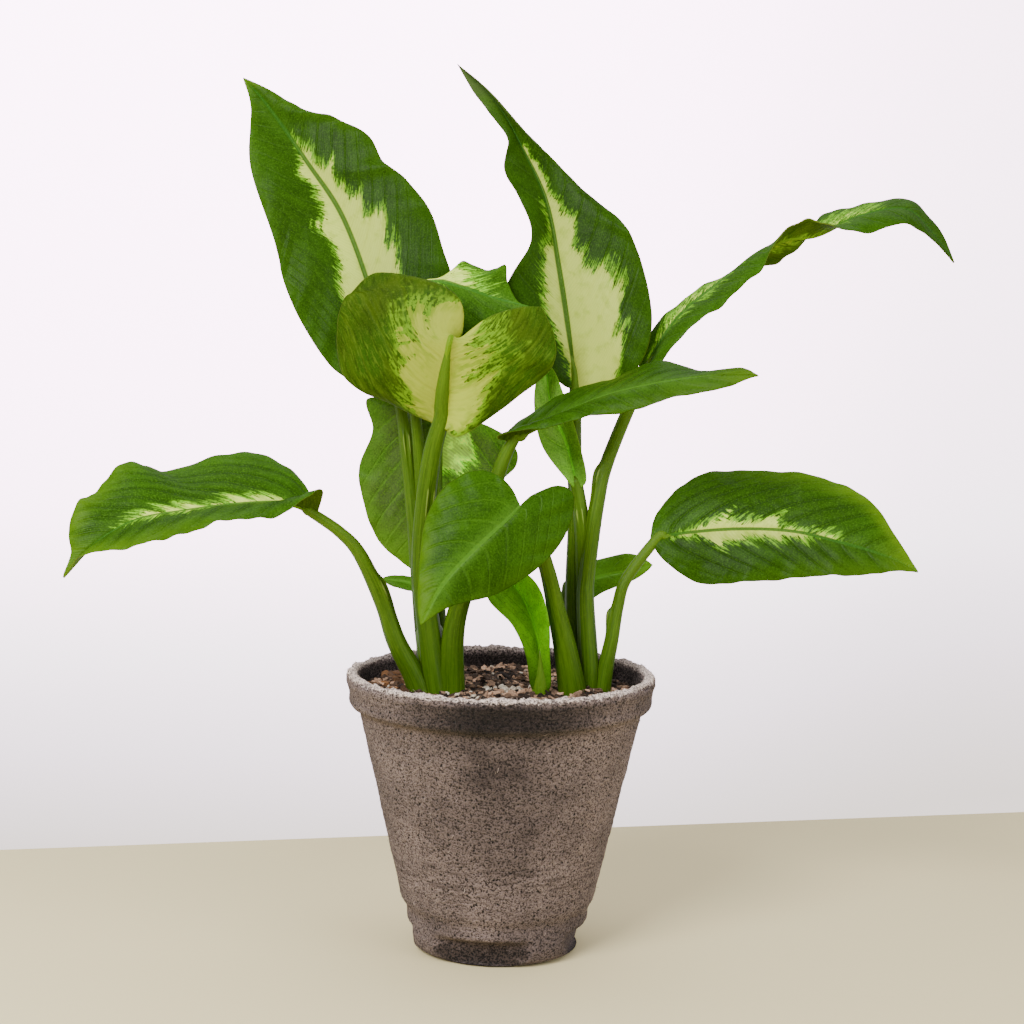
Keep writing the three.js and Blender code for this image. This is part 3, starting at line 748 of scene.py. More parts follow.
def stalk_mesh(route, radii, sheath, grown, settings, seed):
    """A ribbed rod, thinner over its last grown mm, with two low wings as its sheath's edges."""
    line = curve(route)
    rough = line(np.linspace(0, 1, 60))
    length = np.linalg.norm(np.diff(rough, axis=0), axis=1).sum()
    rings = max(8, round(length * MM / settings.ring_gap))
    sides = settings.sides
    t = np.linspace(0, 1, rings)
    middle = line(t)
    along = unit(line(np.minimum(t + STEP, 1)) - line(np.maximum(t - STEP, 0)))
    across = unit(np.cross((0, 1, 0), along))
    outward = np.cross(across, along)
    thick, slender = radii
    radius = slender + (thick - slender) * (1 - t) ** 1.6
    radius = radius * (1 - 0.6 * ease(t, 1 - (grown + 8) / length, 1))
    radius = radius * np.sqrt(np.clip((1 - t) * length / 2, 0.05, 1))
    turn = np.arange(sides) / sides * 2 * np.pi
    turn_at, end, size = sheath
    wings = np.zeros((rings, sides))
    opening = np.zeros((rings, sides))
    if size:
        held = 1 - ease(t, end - 0.03, end)
        lifted = held * (0.3 + 1.5 * ease(t, end - 0.12, end - 0.03))
        for sign in (-1, 1):
            off = np.angle(np.exp(1j * (turn - math.radians(turn_at + sign * 20))))
            wings += lifted[:, None] * np.exp(-(off / 0.14) ** 2)[None]
        off = np.angle(np.exp(1j * (turn - math.radians(turn_at))))
        opening = held[:, None] * np.exp(-(off / 0.3) ** 2)[None]
    ribs = 0.012 * np.sin(turn * 9 + seed)[None] + 0.008 * np.sin(turn * 15 + 2 * seed)[None]
    lumps = 0.03 * np.sin(t * length / 11 + seed)[:, None]
    shape = radius[:, None] * (1 + ribs + lumps - 0.05 * opening) + size * wings
    points = middle[:, None] + shape[..., None] * (
        across[:, None] * np.cos(turn)[None, :, None] + outward[:, None] * np.sin(turn)[None, :, None])
    place = np.stack(np.broadcast_arrays(
        (turn / (2 * np.pi))[None] + 0 * t[:, None], (t * length)[:, None], t[:, None]), axis=2)
    masks = np.stack([np.clip(wings * 0.7, 0, 1), opening, np.full(wings.shape, seed)], axis=2)
    return points.reshape(-1, 3), rings_to_faces(rings, sides), place.reshape(-1, 3), masks.reshape(-1, 3)


def cone_radius(z):
    """The pot's outer radius at a height on its tapered body."""
    low, high = FOOT_HEIGHT + 3, POT_HEIGHT - COLLAR_HEIGHT
    return BODY_FOOT_RADIUS + (BODY_TOP_RADIUS - BODY_FOOT_RADIUS) * (z - low) / (high - low)


def pot_outline():
    """The pot's section as (radius, height), from the middle of its underside out, up and in."""
    collar = POT_HEIGHT - COLLAR_HEIGHT
    inner = cone_radius(FOOT_HEIGHT + 3) - WALL
    return [
        (0.6, 0), (FOOT_RADIUS - FOOT_FILLET, 0), (FOOT_RADIUS - FOOT_FILLET * 0.3, FOOT_FILLET * 0.3),
        (FOOT_RADIUS, FOOT_FILLET), (FOOT_RADIUS, FOOT_HEIGHT),
        (cone_radius(FOOT_HEIGHT + 3), FOOT_HEIGHT + 3), (BODY_TOP_RADIUS, collar),
        (RIM_RADIUS - COLLAR_LIP * 0.5, collar + 1), (RIM_RADIUS - 1, collar + 2.6),
        (RIM_RADIUS - 1.3, collar + 5), (RIM_RADIUS - 0.7, POT_HEIGHT - 5),
        (RIM_RADIUS, POT_HEIGHT - 3.4), (RIM_RADIUS - 0.5, POT_HEIGHT - 1),
        (RIM_RADIUS - 2, POT_HEIGHT), (RIM_RADIUS - COLLAR_LIP, POT_HEIGHT - 0.8),
        (cone_radius(SOIL_TOP + 3) - WALL, SOIL_TOP + 2), (inner, FOOT_HEIGHT + 3),
        (FACET_DISTANCE - WALL, FACET_HEIGHT + 2), (FACET_DISTANCE - WALL - 1, FLOOR), (0.6, FLOOR),
    ]


def resampled(outline, gap_at):
    """The outline with its corners cut twice, and points about gap_at(place) apart."""
    line = np.array(outline, float)
    for cutting in range(2):
        start, end = line[:-1], line[1:]
        reach = np.clip(0.8 / np.linalg.norm(end - start, axis=1, keepdims=True), 0, 0.25)
        cut = np.stack([start + (end - start) * reach, end - (end - start) * reach], axis=1)
        line = np.vstack([line[:1], cut.reshape(-1, 2), line[-1:]])
    points = [line[0]]
    for start, end in zip(line[:-1], line[1:]):
        count = max(1, round(np.linalg.norm(end - start) / gap_at((start + end) / 2)))
        points += [start + (end - start) * i / count for i in range(1, count + 1)]
    return np.array(points)


def pot_piece(settings):
    """The pot as one closed wall of felted fibre, with a torn rim and pressed facets at its foot."""
    collar = POT_HEIGHT - COLLAR_HEIGHT

    def gap_at(place):
        """The gap between rings: wide where the soil or the table hides the wall."""
        radius, height = place
        buried = radius < cone_radius(height) - 1 and FLOOR - 1 < height < SOIL_TOP - 4
        return 6 if buried or height < 0.2 else 0.8

    outline = resampled(pot_outline(), gap_at)
    sides = settings.sides
    turn = np.arange(sides) / sides * 2 * np.pi
    radius, height = outline.T
    radius = np.repeat(radius[:, None], sides, axis=1)
    height = np.repeat(height[:, None], sides, axis=1)
    inset = np.zeros(radius.shape)
    outside = radius > cone_radius(np.maximum(height, 0)) - 1.4
    foot = (1 - ease(height, FACET_HEIGHT - 1.6, FACET_HEIGHT + 1.2)) * (radius > 20)
    for i in range(FACET_COUNT):
        middle = math.radians(-90 + FACET_TURN + i * 360 / FACET_COUNT)
        ahead = np.cos(turn - middle)[None]
        flat = FACET_DISTANCE / np.maximum(ahead, 0.3)
        cut = np.maximum(radius - flat, 0) * (ahead > 0.5) * outside * foot
        inset = np.maximum(inset, cut)
        if i == 0:
            facet = ease(ahead, 0.8, 0.93) * outside * foot
    radius = radius - inset
    points = np.stack([radius * np.cos(turn), radius * np.sin(turn), height], axis=2).reshape(-1, 3)
    shown = outside.ravel() | (points[:, 2] > SOIL_TOP - 6)
    coarse = wander(points, 7, 3) * 0.35
    felt = wander(points, 1.7, 5) * 0.22 + wander(points, 0.9, 9) * 0.14
    rings = wander(points * (0.12, 0.12, 1), 1.3, 1) * 0.1
    proud = (coarse + felt + rings) * settings.fuzz
    outward = np.stack([np.cos(turn), np.sin(turn), 0 * turn], axis=1)
    outward = np.tile(outward, (len(outline), 1))
    facing = np.where(outside.ravel(), 1, -1)
    grounded = ease(points[:, 2], 0.3, 2.5)
    rim = ease(points[:, 2], collar + 7, POT_HEIGHT)
    torn = wander(points, 4.5, 21) * 1.1 + wander(points, 1.6, 23) * 0.9 + wander(points, 0.9, 25) * 0.6
    torn = torn * rim * settings.raggedness
    points = points + outward * (proud * facing * grounded * shown * 0.8)[:, None]
    points[:, 2] += torn * 0.8 + coarse * 0.6 * rim
    points += outward * (torn * 0.35)[:, None]
    points[:, 2] = np.maximum(points[:, 2], 0)
    marks = np.stack([facet.ravel(), np.where(outside.ravel(), 0.0, 1.0), points[:, 2]], axis=1)
    return new_mesh("fibre_pot", points, rings_to_faces(len(outline), sides), {"pot_marks": marks})


def soil_piece(settings):
    """The heap of soil: a lumpy top, and plain sides and foot where the pot hides them."""
    sides = 150
    ring_gap = 0.9
    edge = cone_radius(SOIL_TOP) - WALL - 0.3
    low = cone_radius(FOOT_HEIGHT + 3) - WALL - 0.5
    foot = FACET_DISTANCE - WALL - 0.5
    outline = [(0.4, FLOOR + 0.3), (foot - 1.2, FLOOR + 0.3), (foot, FACET_HEIGHT + 2.4),
               (low, FOOT_HEIGHT + 3.4), (edge - 0.6, SOIL_TOP - 3), (edge, SOIL_TOP - 0.6)]
    outline += [(edge - i * ring_gap, SOIL_TOP) for i in range(1, int(edge / ring_gap))]
    outline.append((0.4, SOIL_TOP))
    turn = np.arange(sides) / sides * 2 * np.pi
    radius, height = np.array(outline).T
    points = np.stack(np.broadcast_arrays(radius[:, None] * np.cos(turn), radius[:, None] * np.sin(turn),
                                          height[:, None]), axis=2).reshape(-1, 3)
    top = ease(points[:, 2], SOIL_TOP - 1, SOIL_TOP - 0.2)
    bumps = wander(points, 9, 2) * 1.2 + wander(points, 3, 4) * 0.9 + wander(points, 1.3, 6) * 0.4
    points[:, 2] += bumps * top * settings.lumpiness
    near = np.full(len(points), 99.0)
    for stem in STEMS.values():
        x, y = stem["crown"]["top"]
        near = np.minimum(near, np.hypot(points[:, 0] - x, points[:, 1] - y) - stem["crown"]["radius"])
    points[:, 2] += 1.2 * (1 - ease(near, 0, 7)) * top
    return new_mesh("soil_heap", points, rings_to_faces(len(outline), sides))


def stem_piece(name, stem, settings):
    """One plant's crown, with the stalks of its leaves growing out of it."""
    crown = stem["crown"]
    bottom = (*crown["foot"], SOIL_TOP - STEM_DEPTH)
    top = (*crown["top"], SOIL_TOP + crown["height"])
    parts = [([bottom, top], (crown["radius"], crown["radius"] * 0.6), (0, 0, 0), 0)]
    for leaf, stalk in stem["stalks"].items():
        reach = np.array([STALK_END, *stalk.get("reach", MIDRIB_REACH)])
        rib, upward = blade_sheet(BLADES[leaf], reach, np.zeros(1))
        below = rib[:, 0] - upward * (0.5 * stalk["radii"][1] * np.sqrt(reach / reach[-1]))[:, None]
        grown = np.linalg.norm(np.diff(below, axis=0), axis=1).sum()
        route = [*stalk["route"], *map(tuple, below)]
        parts.append((route, stalk["radii"], stalk.get("sheath", NO_SHEATH), grown))
    points, faces, places, masks = [], [], [], []
    for number, (route, radii, sheath, grown) in enumerate(parts):
        rod, skin, place, mask = stalk_mesh(route, radii, sheath, grown, settings, number * 1.7 + len(name))
        shift = sum(map(len, points))
        points.append(rod)
        faces += [tuple(i + shift for i in face) for face in skin]
        places.append(place)
        masks.append(mask)
    return new_mesh("stalks_" + name, np.vstack(points), faces,
                    {"stalk_place": np.vstack(places), "stalk_masks": np.vstack(masks)})


class Nodes:
    """The nodes of one tree, added with their settings and joined to what feeds them."""

    def __init__(self, tree):
        self.tree = tree

    def add(self, kind, inputs=None, **settings):
        """A node of that kind, with its settings and with its inputs fed."""
        node = self.tree.nodes.new(kind)
        for key, value in settings.items():
            setattr(node, key, value)
        for key, value in (inputs or {}).items():
            self.feed(node.inputs[key], value)
        return node

    def feed(self, socket, value):
        """Joins a socket to another, or gives it a value. A colour gets its alpha here."""
        if isinstance(value, bpy.types.NodeSocket):
            self.tree.links.new(value, socket)
        elif value is not None:
            if socket.type == "RGBA" and len(value) == 3:
                value = (*value, 1)
            socket.default_value = value

    def math(self, operation, *values):
        return self.add("ShaderNodeMath", dict(enumerate(values)), operation=operation).outputs[0]

    def times(self, value, factor):
        return self.math("MULTIPLY", value, factor)

    def part_of(self, value, factor, rest):
        """value times factor, plus the rest."""
        return self.math("MULTIPLY_ADD", value, factor, rest)

    def swayed(self, rest, noise, reach):
        """rest, pushed either way by a noise, half of reach at most."""
        return self.part_of(self.math("SUBTRACT", noise, 0.5), reach, rest)

    def vector(self, operation, *values):
        return self.add("ShaderNodeVectorMath", dict(enumerate(values)), operation=operation).outputs[0]

    def scaled(self, vector, factor):
        return self.add("ShaderNodeVectorMath", {0: vector, "Scale": factor}, operation="SCALE").outputs[0]

    def mix(self, factor, low, high, blend="MIX"):
        node = self.add("ShaderNodeMix", data_type="RGBA", blend_type=blend)
        for key, value in (("Factor_Float", factor), ("A_Color", low), ("B_Color", high)):
            self.feed(next(socket for socket in node.inputs if socket.identifier == key), value)
        return next(socket for socket in node.outputs if socket.identifier == "Result_Color")

    def stained(self, base, mask, share, colour):
        """base with a colour over it where the mask is, at that share of the mask's strength."""
        return self.mix(self.times(mask, share), base, colour)

    def shaded(self, base, colour):
        """base multiplied by a colour."""
        return self.mix(1.0, base, colour, "MULTIPLY")

    def ease(self, value, low, high, start=0.0, end=1.0):
        return self.add("ShaderNodeMapRange", {0: value, 1: low, 2: high, 3: start, 4: end},
                        interpolation_type="SMOOTHSTEP").outputs[0]

    def noise(self, vector, scale, detail=2.0, roughness=0.5, output=0):
        inputs = {"Vector": vector, "Scale": scale, "Detail": detail, "Roughness": roughness}
        return self.add("ShaderNodeTexNoise", inputs).outputs[output]

    def cells(self, vector, scale):
        return self.add("ShaderNodeTexVoronoi", {"Vector": vector, "Scale": scale}).outputs[0]

    def here(self):
        """The place on the object."""
        return self.add("ShaderNodeTexCoord").outputs["Object"]

    def attribute(self, name, output="Vector"):
        return self.add("ShaderNodeAttribute", attribute_name=name).outputs[output]

    def split(self, vector):
        return self.add("ShaderNodeSeparateXYZ", {0: vector}).outputs

    def join(self, x, y, z):
        return self.add("ShaderNodeCombineXYZ", {0: x, 1: y, 2: z}).outputs[0]

    def bump(self, height, strength, distance):
        inputs = {"Height": height, "Strength": strength, "Distance": distance}
        return self.add("ShaderNodeBump", inputs).outputs[0]

    def skin(self, colour, roughness, normal, specular, **more):
        """A surface of that colour. Further sockets are named with _ for each space."""
        inputs = {
            "Base Color": colour,
            "Roughness": roughness,
            "Normal": normal,
            "Specular IOR Level": specular,
            **{key.replace("_", " "): value for key, value in more.items()},
        }
        return self.add("ShaderNodeBsdfPrincipled", inputs).outputs[0]

    def surface(self, shader):
        self.add("ShaderNodeOutputMaterial", {"Surface": shader})


def node_group(name, kind, inputs, outputs):
    """A node group with that interface, its nodes, and the sockets within that lead in and out."""
    group = bpy.data.node_groups.new(name, kind)
    for key, socket_type, value in inputs:
        socket = group.interface.new_socket(key, in_out="INPUT", socket_type=socket_type)
        if value is not None:
            socket.default_value = value
    for key, socket_type in outputs:
        group.interface.new_socket(key, in_out="OUTPUT", socket_type=socket_type)
    nodes = Nodes(group)
    return group, nodes, nodes.add("NodeGroupInput").outputs, nodes.add("NodeGroupOutput").inputs


def leaf_marks_group():
    """Colour, gloss and relief of a blade: its veins, cream marking, margins and yellow tip, with painted
    shade in its hollows, a painted highlight on its hem, a grey tip partly painted sheen, and painted light
    and shade on each half.
    """
    vectors = [(key, "NodeSocketVector", None) for key in LEAF_ATTRIBUTES]
    colours = [(key, "NodeSocketColor", None) for key in ("Deep", "Green", "Olive", "Cream", "Rib")]
    group, n, given, result = node_group(
        "Leaf marks", "ShaderNodeTree", [*vectors, *colours, ("Vein strength", "NodeSocketFloat", 0.12)],
        [("Color", "NodeSocketColor"), ("Roughness", "NodeSocketFloat"), ("Height", "NodeSocketFloat")])
    here = n.here()
    vein, root, side = n.split(given["Place"])
    away, edge, reach = n.split(given["Marks"])
    yellow, shade, seed = n.split(given["Tint"])
    rib_width, feather, lime_share = n.split(given["Form"])
    under, creamy, hollow_shade_share = n.split(given["Face"])
    side_shift = n.part_of(side, 40.0, n.times(seed, 3.1))

    def lengthwise(across_mm, along_mm, detail):
        """Noise that changes fast from vein to vein and slowly along each."""
        at = n.join(n.math("DIVIDE", root, across_mm), n.math("DIVIDE", away, along_mm), side_shift)
        return n.noise(at, 1.0, detail)

    wide = lengthwise(3.2, 14.0, 2.0)
    streak = lengthwise(1.0, 5.0, 2.0)
    fine = lengthwise(0.45, 3.0, 1.0)
    dash = lengthwise(0.55, 2.4, 2.0)
    fleck = n.part_of(dash, 0.65, n.times(n.noise(here, 1100.0, 2.0, 0.65), 0.35))
    fine_grain = n.noise(here, 1900.0, 2.0, 0.6)
    blotch = n.noise(here, 60.0, 3.0)
    cloud = n.noise(here, 240.0, 3.0, 0.6)

    # The cream marking's edge: lobes and feathers along the veins, then flecks
    torn = n.swayed(0.0, streak, 7.0)
    torn = n.swayed(torn, fine, 2.2)
    torn = n.part_of(torn, n.math("POWER", feather, 0.4), reach)
    torn = n.swayed(torn, wide, n.times(feather, 6.0))
    torn = n.swayed(torn, fleck, 5.0)
    solid = n.ease(fleck, n.part_of(creamy, -0.6, 0.6), n.part_of(creamy, -0.6, 0.68))
    cream = n.times(n.ease(torn, -0.1, 0.5), solid)
    lime = n.times(n.ease(torn, n.times(feather, -2.8), -0.2), n.ease(fleck, 0.42, 0.54))
    lime = n.times(lime, lime_share)
    halo = n.ease(torn, -9.0, -0.5)
    stain = n.times(n.ease(torn, n.times(feather, 3.2), 0.3), n.ease(streak, 0.44, 0.6))

    # The side veins, painted shade in the hollows along them, and the small veins between
    beat = n.math("ABSOLUTE", n.math("SUBTRACT", n.math("FRACT", vein), 0.5))
    main = n.times(n.ease(beat, 0.4, 0.5), n.ease(edge, 0.5, 4.0))
    painted_hollow_shade = n.times(n.ease(beat, 0.2, 0.47), n.ease(edge, 1.0, 8.0))
    small_beat = n.math("FRACT", n.math("DIVIDE", n.part_of(blotch, 1.5, root), 1.2))
    small = n.ease(n.math("ABSOLUTE", n.math("SUBTRACT", small_beat, 0.5)), 0.0, 0.4, 1.0, 0.0)
    grain = n.part_of(lengthwise(1.3, 12.0, 3.0), 0.3, n.times(lengthwise(7.0, 12.0, 2.0), 0.7))

    # The upper face
    strength = given["Vein strength"]
    green = n.mix(n.ease(grain, 0.32, 0.7), given["Deep"], given["Green"])
    green = n.stained(green, halo, 0.6, given["Deep"])
    green = n.stained(green, n.ease(edge, 0.0, 9.0, 1.0, 0.0), 0.4, (0.05, 0.16, 0.001))
    green = n.stained(green, n.ease(blotch, 0.42, 0.66), 0.35, (0.045, 0.15, 0.002))
    # Painted shade in the hollows between side veins, darker on a more quilted blade
    green = n.stained(green, painted_hollow_shade, n.times(hollow_shade_share, 0.3), (0.009, 0.035, 0.0004))
    green = n.stained(green, main, strength, (0.1, 0.26, 0.015))
    green = n.stained(green, small, 0.08, (0.07, 0.18, 0.006))
    green = n.stained(green, n.ease(away, 0.5, 6.5, 1.0, 0.0), n.times(strength, 1.6), (0.1, 0.25, 0.025))
    green = n.stained(green, n.ease(cloud, 0.42, 0.68), 0.3, (0.016, 0.05, 0.001))
    green = n.stained(green, n.ease(fine_grain, 0.5, 0.68), 0.45, (0.075, 0.19, 0.012))
    green = n.stained(green, n.ease(fine_grain, 0.3, 0.48, 1.0, 0.0), 0.5, (0.01, 0.034, 0.001))

    # The underside
    olive = n.mix(n.ease(blotch, 0.35, 0.7), given["Olive"], given["Green"])
    olive = n.stained(olive, n.ease(grain, 0.42, 0.62), 0.5, (0.07, 0.125, 0.001))
    olive = n.stained(olive, n.ease(streak, 0.5, 0.66), 0.5, (0.016, 0.038, 0.001))
    olive = n.stained(olive, n.ease(dash, 0.5, 0.68), n.ease(blotch, 0.4, 0.6, 0.1, 0.6), (0.11, 0.2, 0.012))
    olive = n.stained(olive, main, 0.25, (0.1, 0.17, 0.006))
    olive = n.stained(olive, n.ease(fine_grain, 0.5, 0.68), 0.4, (0.1, 0.16, 0.016))

    # The marking: a bright fringe, and cream that is stained and veined
    ground = n.mix(under, green, olive)
    ground = n.mix(lime, ground, n.mix(under, (0.2, 0.5, 0.02), (0.15, 0.31, 0.008)))
    pale = n.stained(given["Cream"], under, 0.9, (0.33, 0.38, 0.032))
    pale = n.stained(pale, stain, 0.85, n.mix(under, (0.26, 0.5, 0.012), (0.17, 0.28, 0.008)))
    pale = n.stained(pale, n.ease(cloud, 0.5, 0.72), 0.5, n.mix(under, (0.4, 0.56, 0.05), (0.24, 0.32, 0.02)))
    pale = n.stained(pale, small, 0.15, n.mix(under, (0.36, 0.5, 0.05), (0.26, 0.33, 0.03)))
    ground = n.mix(cream, ground, pale)

    # The midrib, the hem of the margin with its painted highlight, the yellowing, the grey that is partly a
    # painted sheen, and each place's brightness, partly its own tone and partly painted light and shade
    rib = n.ease(n.math("DIVIDE", away, rib_width), 0.5, 0.8, 1.0, 0.0)
    rib_green = n.mix(n.ease(streak, 0.4, 0.6, 0.0, 0.5), given["Rib"], (0.075, 0.22, 0.02))
    ground = n.stained(ground, rib, 0.92, n.mix(under, rib_green, (0.13, 0.26, 0.005)))
    # A thin hem at the margin: dark on the upper face, pale on the underside, where it is partly a painted
    # highlight of light caught on the thin edge
    hem_and_highlight = n.ease(edge, 0.1, 0.55, 1.0, 0.0)
    ground = n.stained(ground, hem_and_highlight, 0.55, n.mix(under, (0.04, 0.09, 0.002), (0.26, 0.34, 0.05)))
    yellowing_and_sheen = n.times(yellow, n.ease(grain, 0.3, 0.6, 0.5, 1.0))
    ground = n.mix(yellowing_and_sheen, ground, (0.12, 0.24, 0.004))
    # Below 0 the strength lays a grey over the tip instead, partly a dull tone and partly a painted sheen
    ground = n.stained(ground, yellowing_and_sheen, -1.0, (0.095, 0.13, 0.045))
    # The brightness multiplier paints light and shade onto the blade as well as its own tone: lighter where
    # light falls on or through it, darker where shade falls
    n.feed(result["Color"], n.shaded(ground, n.join(shade, shade, shade)))
    gloss = n.part_of(n.noise(here, 220.0), 0.14, 0.32)
    n.feed(result["Roughness"], n.part_of(under, 0.14, gloss))
    relief = n.part_of(main, -0.35, n.times(small, -0.06))
    relief = n.part_of(cloud, 0.5, relief)
    n.feed(result["Height"], n.part_of(grain, 0.6, relief))
    return group


def new_material(name):
    """An empty material and its nodes."""
    material = bpy.data.materials.new(name)
    material.use_nodes = True
    material.node_tree.nodes.clear()
    return material, Nodes(material.node_tree)


def leaf_material(name, group, colours, see_through):
    """A blade's skin: glossy where light falls on it, and lit through where light is behind it."""
    material, n = new_material(name)
    inputs = {key: n.attribute(attribute) for key, attribute in LEAF_ATTRIBUTES.items()}
    marks = n.add("ShaderNodeGroup", {**inputs, **colours}, node_tree=group).outputs
    relief = n.bump(marks["Height"], 0.6, 0.0007)
    skin = n.skin(marks["Color"], marks["Roughness"], relief, 0.06)
    glow = n.shaded(marks["Color"], (1.7, 2.0, 0.3))
    through = n.add("ShaderNodeBsdfTranslucent", {"Color": glow, "Normal": relief}).outputs[0]
    n.surface(n.add("ShaderNodeMixShader", {0: see_through, 1: skin, 2: through}).outputs[0])
    return material


def stalk_material(settings):
    """Juicy green stalks, streaked along their length, with painted shade at the soil and pale on the
    sheath's edges.
    """
    material, n = new_material("stalk_skin")
    turn, length, part = n.split(n.attribute("stalk_place"))
    wing, opening, seed = n.split(n.attribute("stalk_masks"))
    around = n.times(turn, FULL_TURN)
    ring = n.join(n.times(n.math("COSINE", around), 3.0), n.times(n.math("SINE", around), 3.0),
                  n.part_of(length, 0.035, seed))
    streak = n.noise(ring, 2.2, 4.0, 0.6)
    hair = n.noise(ring, 9.0)
    spot = n.noise(n.here(), 900.0)
    body = n.mix(n.ease(streak, 0.35, 0.66), settings.dark_green, settings.green)
    body = n.stained(body, n.ease(part, 0.35, 1.0), 0.55, (0.088, 0.18, 0.003))
    body = n.stained(body, n.ease(hair, 0.5, 0.7), 0.25, (0.12, 0.21, 0.006))
    body = n.stained(body, n.ease(spot, 0.58, 0.72), 0.15, (0.14, 0.22, 0.02))
    body = n.stained(body, opening, 0.3, (0.035, 0.085, 0.0005))
    # Painted shade low down on the stalks, near the soil
    body = n.mix(n.ease(part, 0.05, 0.35, 0.4, 0.0), body, (0.022, 0.06, 0.0005))
    body = n.stained(body, n.ease(wing, 0.55, 1.0), 0.7, (0.26, 0.36, 0.07))
    relief = n.bump(n.math("ADD", hair, n.times(streak, 0.6)), 0.25, 0.0006)
    n.surface(n.skin(body, n.ease(streak, 0.3, 0.7, 0.34, 0.48), relief, 0.15, Subsurface_Weight=0.12,
                     Subsurface_Radius=(0.4, 1.0, 0.1), Subsurface_Scale=0.002))
    return material


def fibre_material(settings):
    """Felted grey-brown fibre: pale and dark threads, pressed rings, dark specks and a damp foot partly in
    painted shade, with painted shadow under the collar, a torn rim pale partly from painted light, and
    painted shade inside.
    """
    material, n = new_material("pot_felt")
    here = n.here()
    x, y, z = n.split(here)
    facet, inside, height = n.split(n.attribute("pot_marks"))
    bent = n.vector("SUBTRACT", n.noise(here, 160.0, output="Color"), (0.5, 0.5, 0.5))
    flow = n.vector("ADD", here, n.scaled(bent, 0.004))
    thread = n.noise(here, 1600.0, 2.0, 0.6)
    wisp = n.noise(n.vector("MULTIPLY", flow, (1.0, 1.0, 1.8)), 760.0, 4.0, 0.7)
    patch = n.noise(here, 45.0, 3.0)
    ring = n.noise(n.vector("MULTIPLY", here, (0.1, 0.1, 1.0)), 700.0)
    specks = n.cells(here, 420.0)
    body = n.mix(n.ease(thread, 0.38, 0.58), settings.dark_fibre, settings.pale_fibre)
    body = n.stained(body, n.ease(wisp, 0.48, 0.6), 0.45, (0.38, 0.29, 0.265))

    # Darker by patches, in front and towards the foot
    front = n.times(n.ease(x, -0.034, -0.004), n.ease(x, 0.008, 0.036, 1.0, 0.0))
    front = n.times(front, n.times(n.ease(z, 0.03, 0.05), n.ease(y, -0.03, 0.0, 1.0, 0.0)))
    darkening = n.part_of(front, 0.58, n.ease(patch, 0.38, 0.66, 0.0, 0.35))
    darkening = n.math("ADD", darkening, n.ease(height, 6.0, 26.0, 0.3, 0.0))
    body = n.mix(darkening, body, n.shaded(body, (0.17, 0.16, 0.165)))

    # Pressed rings, most of them low on the body, and specks
    low_band = n.times(n.ease(height, 20.0, 30.0), n.ease(height, 34.0, 44.0, 1.0, 0.0))
    body = n.stained(body, n.ease(ring, 0.52, 0.62), n.part_of(low_band, 0.3, 0.12), (0.016, 0.01, 0.008))
    body = n.mix(n.ease(specks, 0.12, 0.2, 1.0, 0.0), body, (0.004, 0.0025, 0.002))

    # The collar, with painted shadow under its torn lip, darkest in the middle, and the lip pale partly from
    # painted light
    shadow_under_lip = n.times(n.ease(height, 83.0, 89.5), n.ease(height, 95.6, 97.2, 1.0, 0.0))
    shadow_under_lip = n.times(shadow_under_lip, n.ease(n.math("ABSOLUTE", x), 0.018, 0.044, 1.0, 0.3))
    body = n.stained(body, shadow_under_lip, n.ease(wisp, 0.35, 0.6, 0.95, 0.7), n.shaded(body, (0.14, 0.125, 0.12)))
    # The torn lip: pale partly from its own fibre, partly from painted light on its top, with less of it
    # towards the back
    pale_lip_and_light = n.ease(n.part_of(wisp, 5.0, height), 100.2, 101.4)
    pale_lip_and_light = n.times(pale_lip_and_light, n.ease(y, 0.0, 0.035, 1.0, 0.3))
    body = n.stained(body, pale_lip_and_light, n.ease(thread, 0.38, 0.52, 0.15, 1.0), (1.0, 0.82, 0.73))

    # The facet at the front of the foot, damp and partly in painted shade, and painted shade on the wall
    # inside
    damp = n.ease(n.swayed(facet, n.noise(here, 240.0, 3.0), 2.2), 0.25, 0.9)
    damp = n.times(damp, n.ease(facet, 0.0, 0.15))
    damp = n.times(damp, n.ease(height, 4.5, 9.0, 1.0, 0.5))
    body = n.mix(damp, body, n.mix(n.ease(thread, 0.42, 0.56), (0.005, 0.0035, 0.003), (0.06, 0.042, 0.036)))
    painted_shade_inside = n.times(inside, n.ease(height, 96.0, 98.6, 1.0, 0.0))
    body = n.stained(body, painted_shade_inside, n.ease(thread, 0.44, 0.6, 0.98, 0.5), (0.01, 0.006, 0.005))
    relief = n.part_of(n.ease(specks, 0.08, 0.26), 0.4, n.part_of(wisp, 0.9, thread))
    n.surface(n.skin(body, n.ease(damp, 0.0, 1.0, 0.95, 0.75), n.bump(relief, 1.0, 0.0013), 0.06,
                     Sheen_Weight=0.06, Sheen_Roughness=0.6))
    return material


def crumb_marks_group():
    """Colour and grain of crumbs and threads, each with its own shade between dark and light."""
    made = bpy.data.node_groups.get("Crumb marks")
    if made:
        return made
    group, n, given, result = node_group("Crumb marks", "ShaderNodeTree", [
        ("Shade", "NodeSocketFloat", 0.5),
        ("Dark", "NodeSocketColor", None),
        ("Light", "NodeSocketColor", None),
    ], [("Color", "NodeSocketColor"), ("Grain", "NodeSocketFloat")])
    grain = n.noise(n.here(), 1400.0, 3.0, 0.6)
    body = n.mix(n.math("POWER", given["Shade"], 2.4), given["Dark"], given["Light"])
    body = n.mix(n.ease(grain, 0.35, 0.65), n.shaded(body, (0.55, 0.52, 0.5)), body)
    n.feed(result["Color"], body)
    n.feed(result["Grain"], grain)
    return group


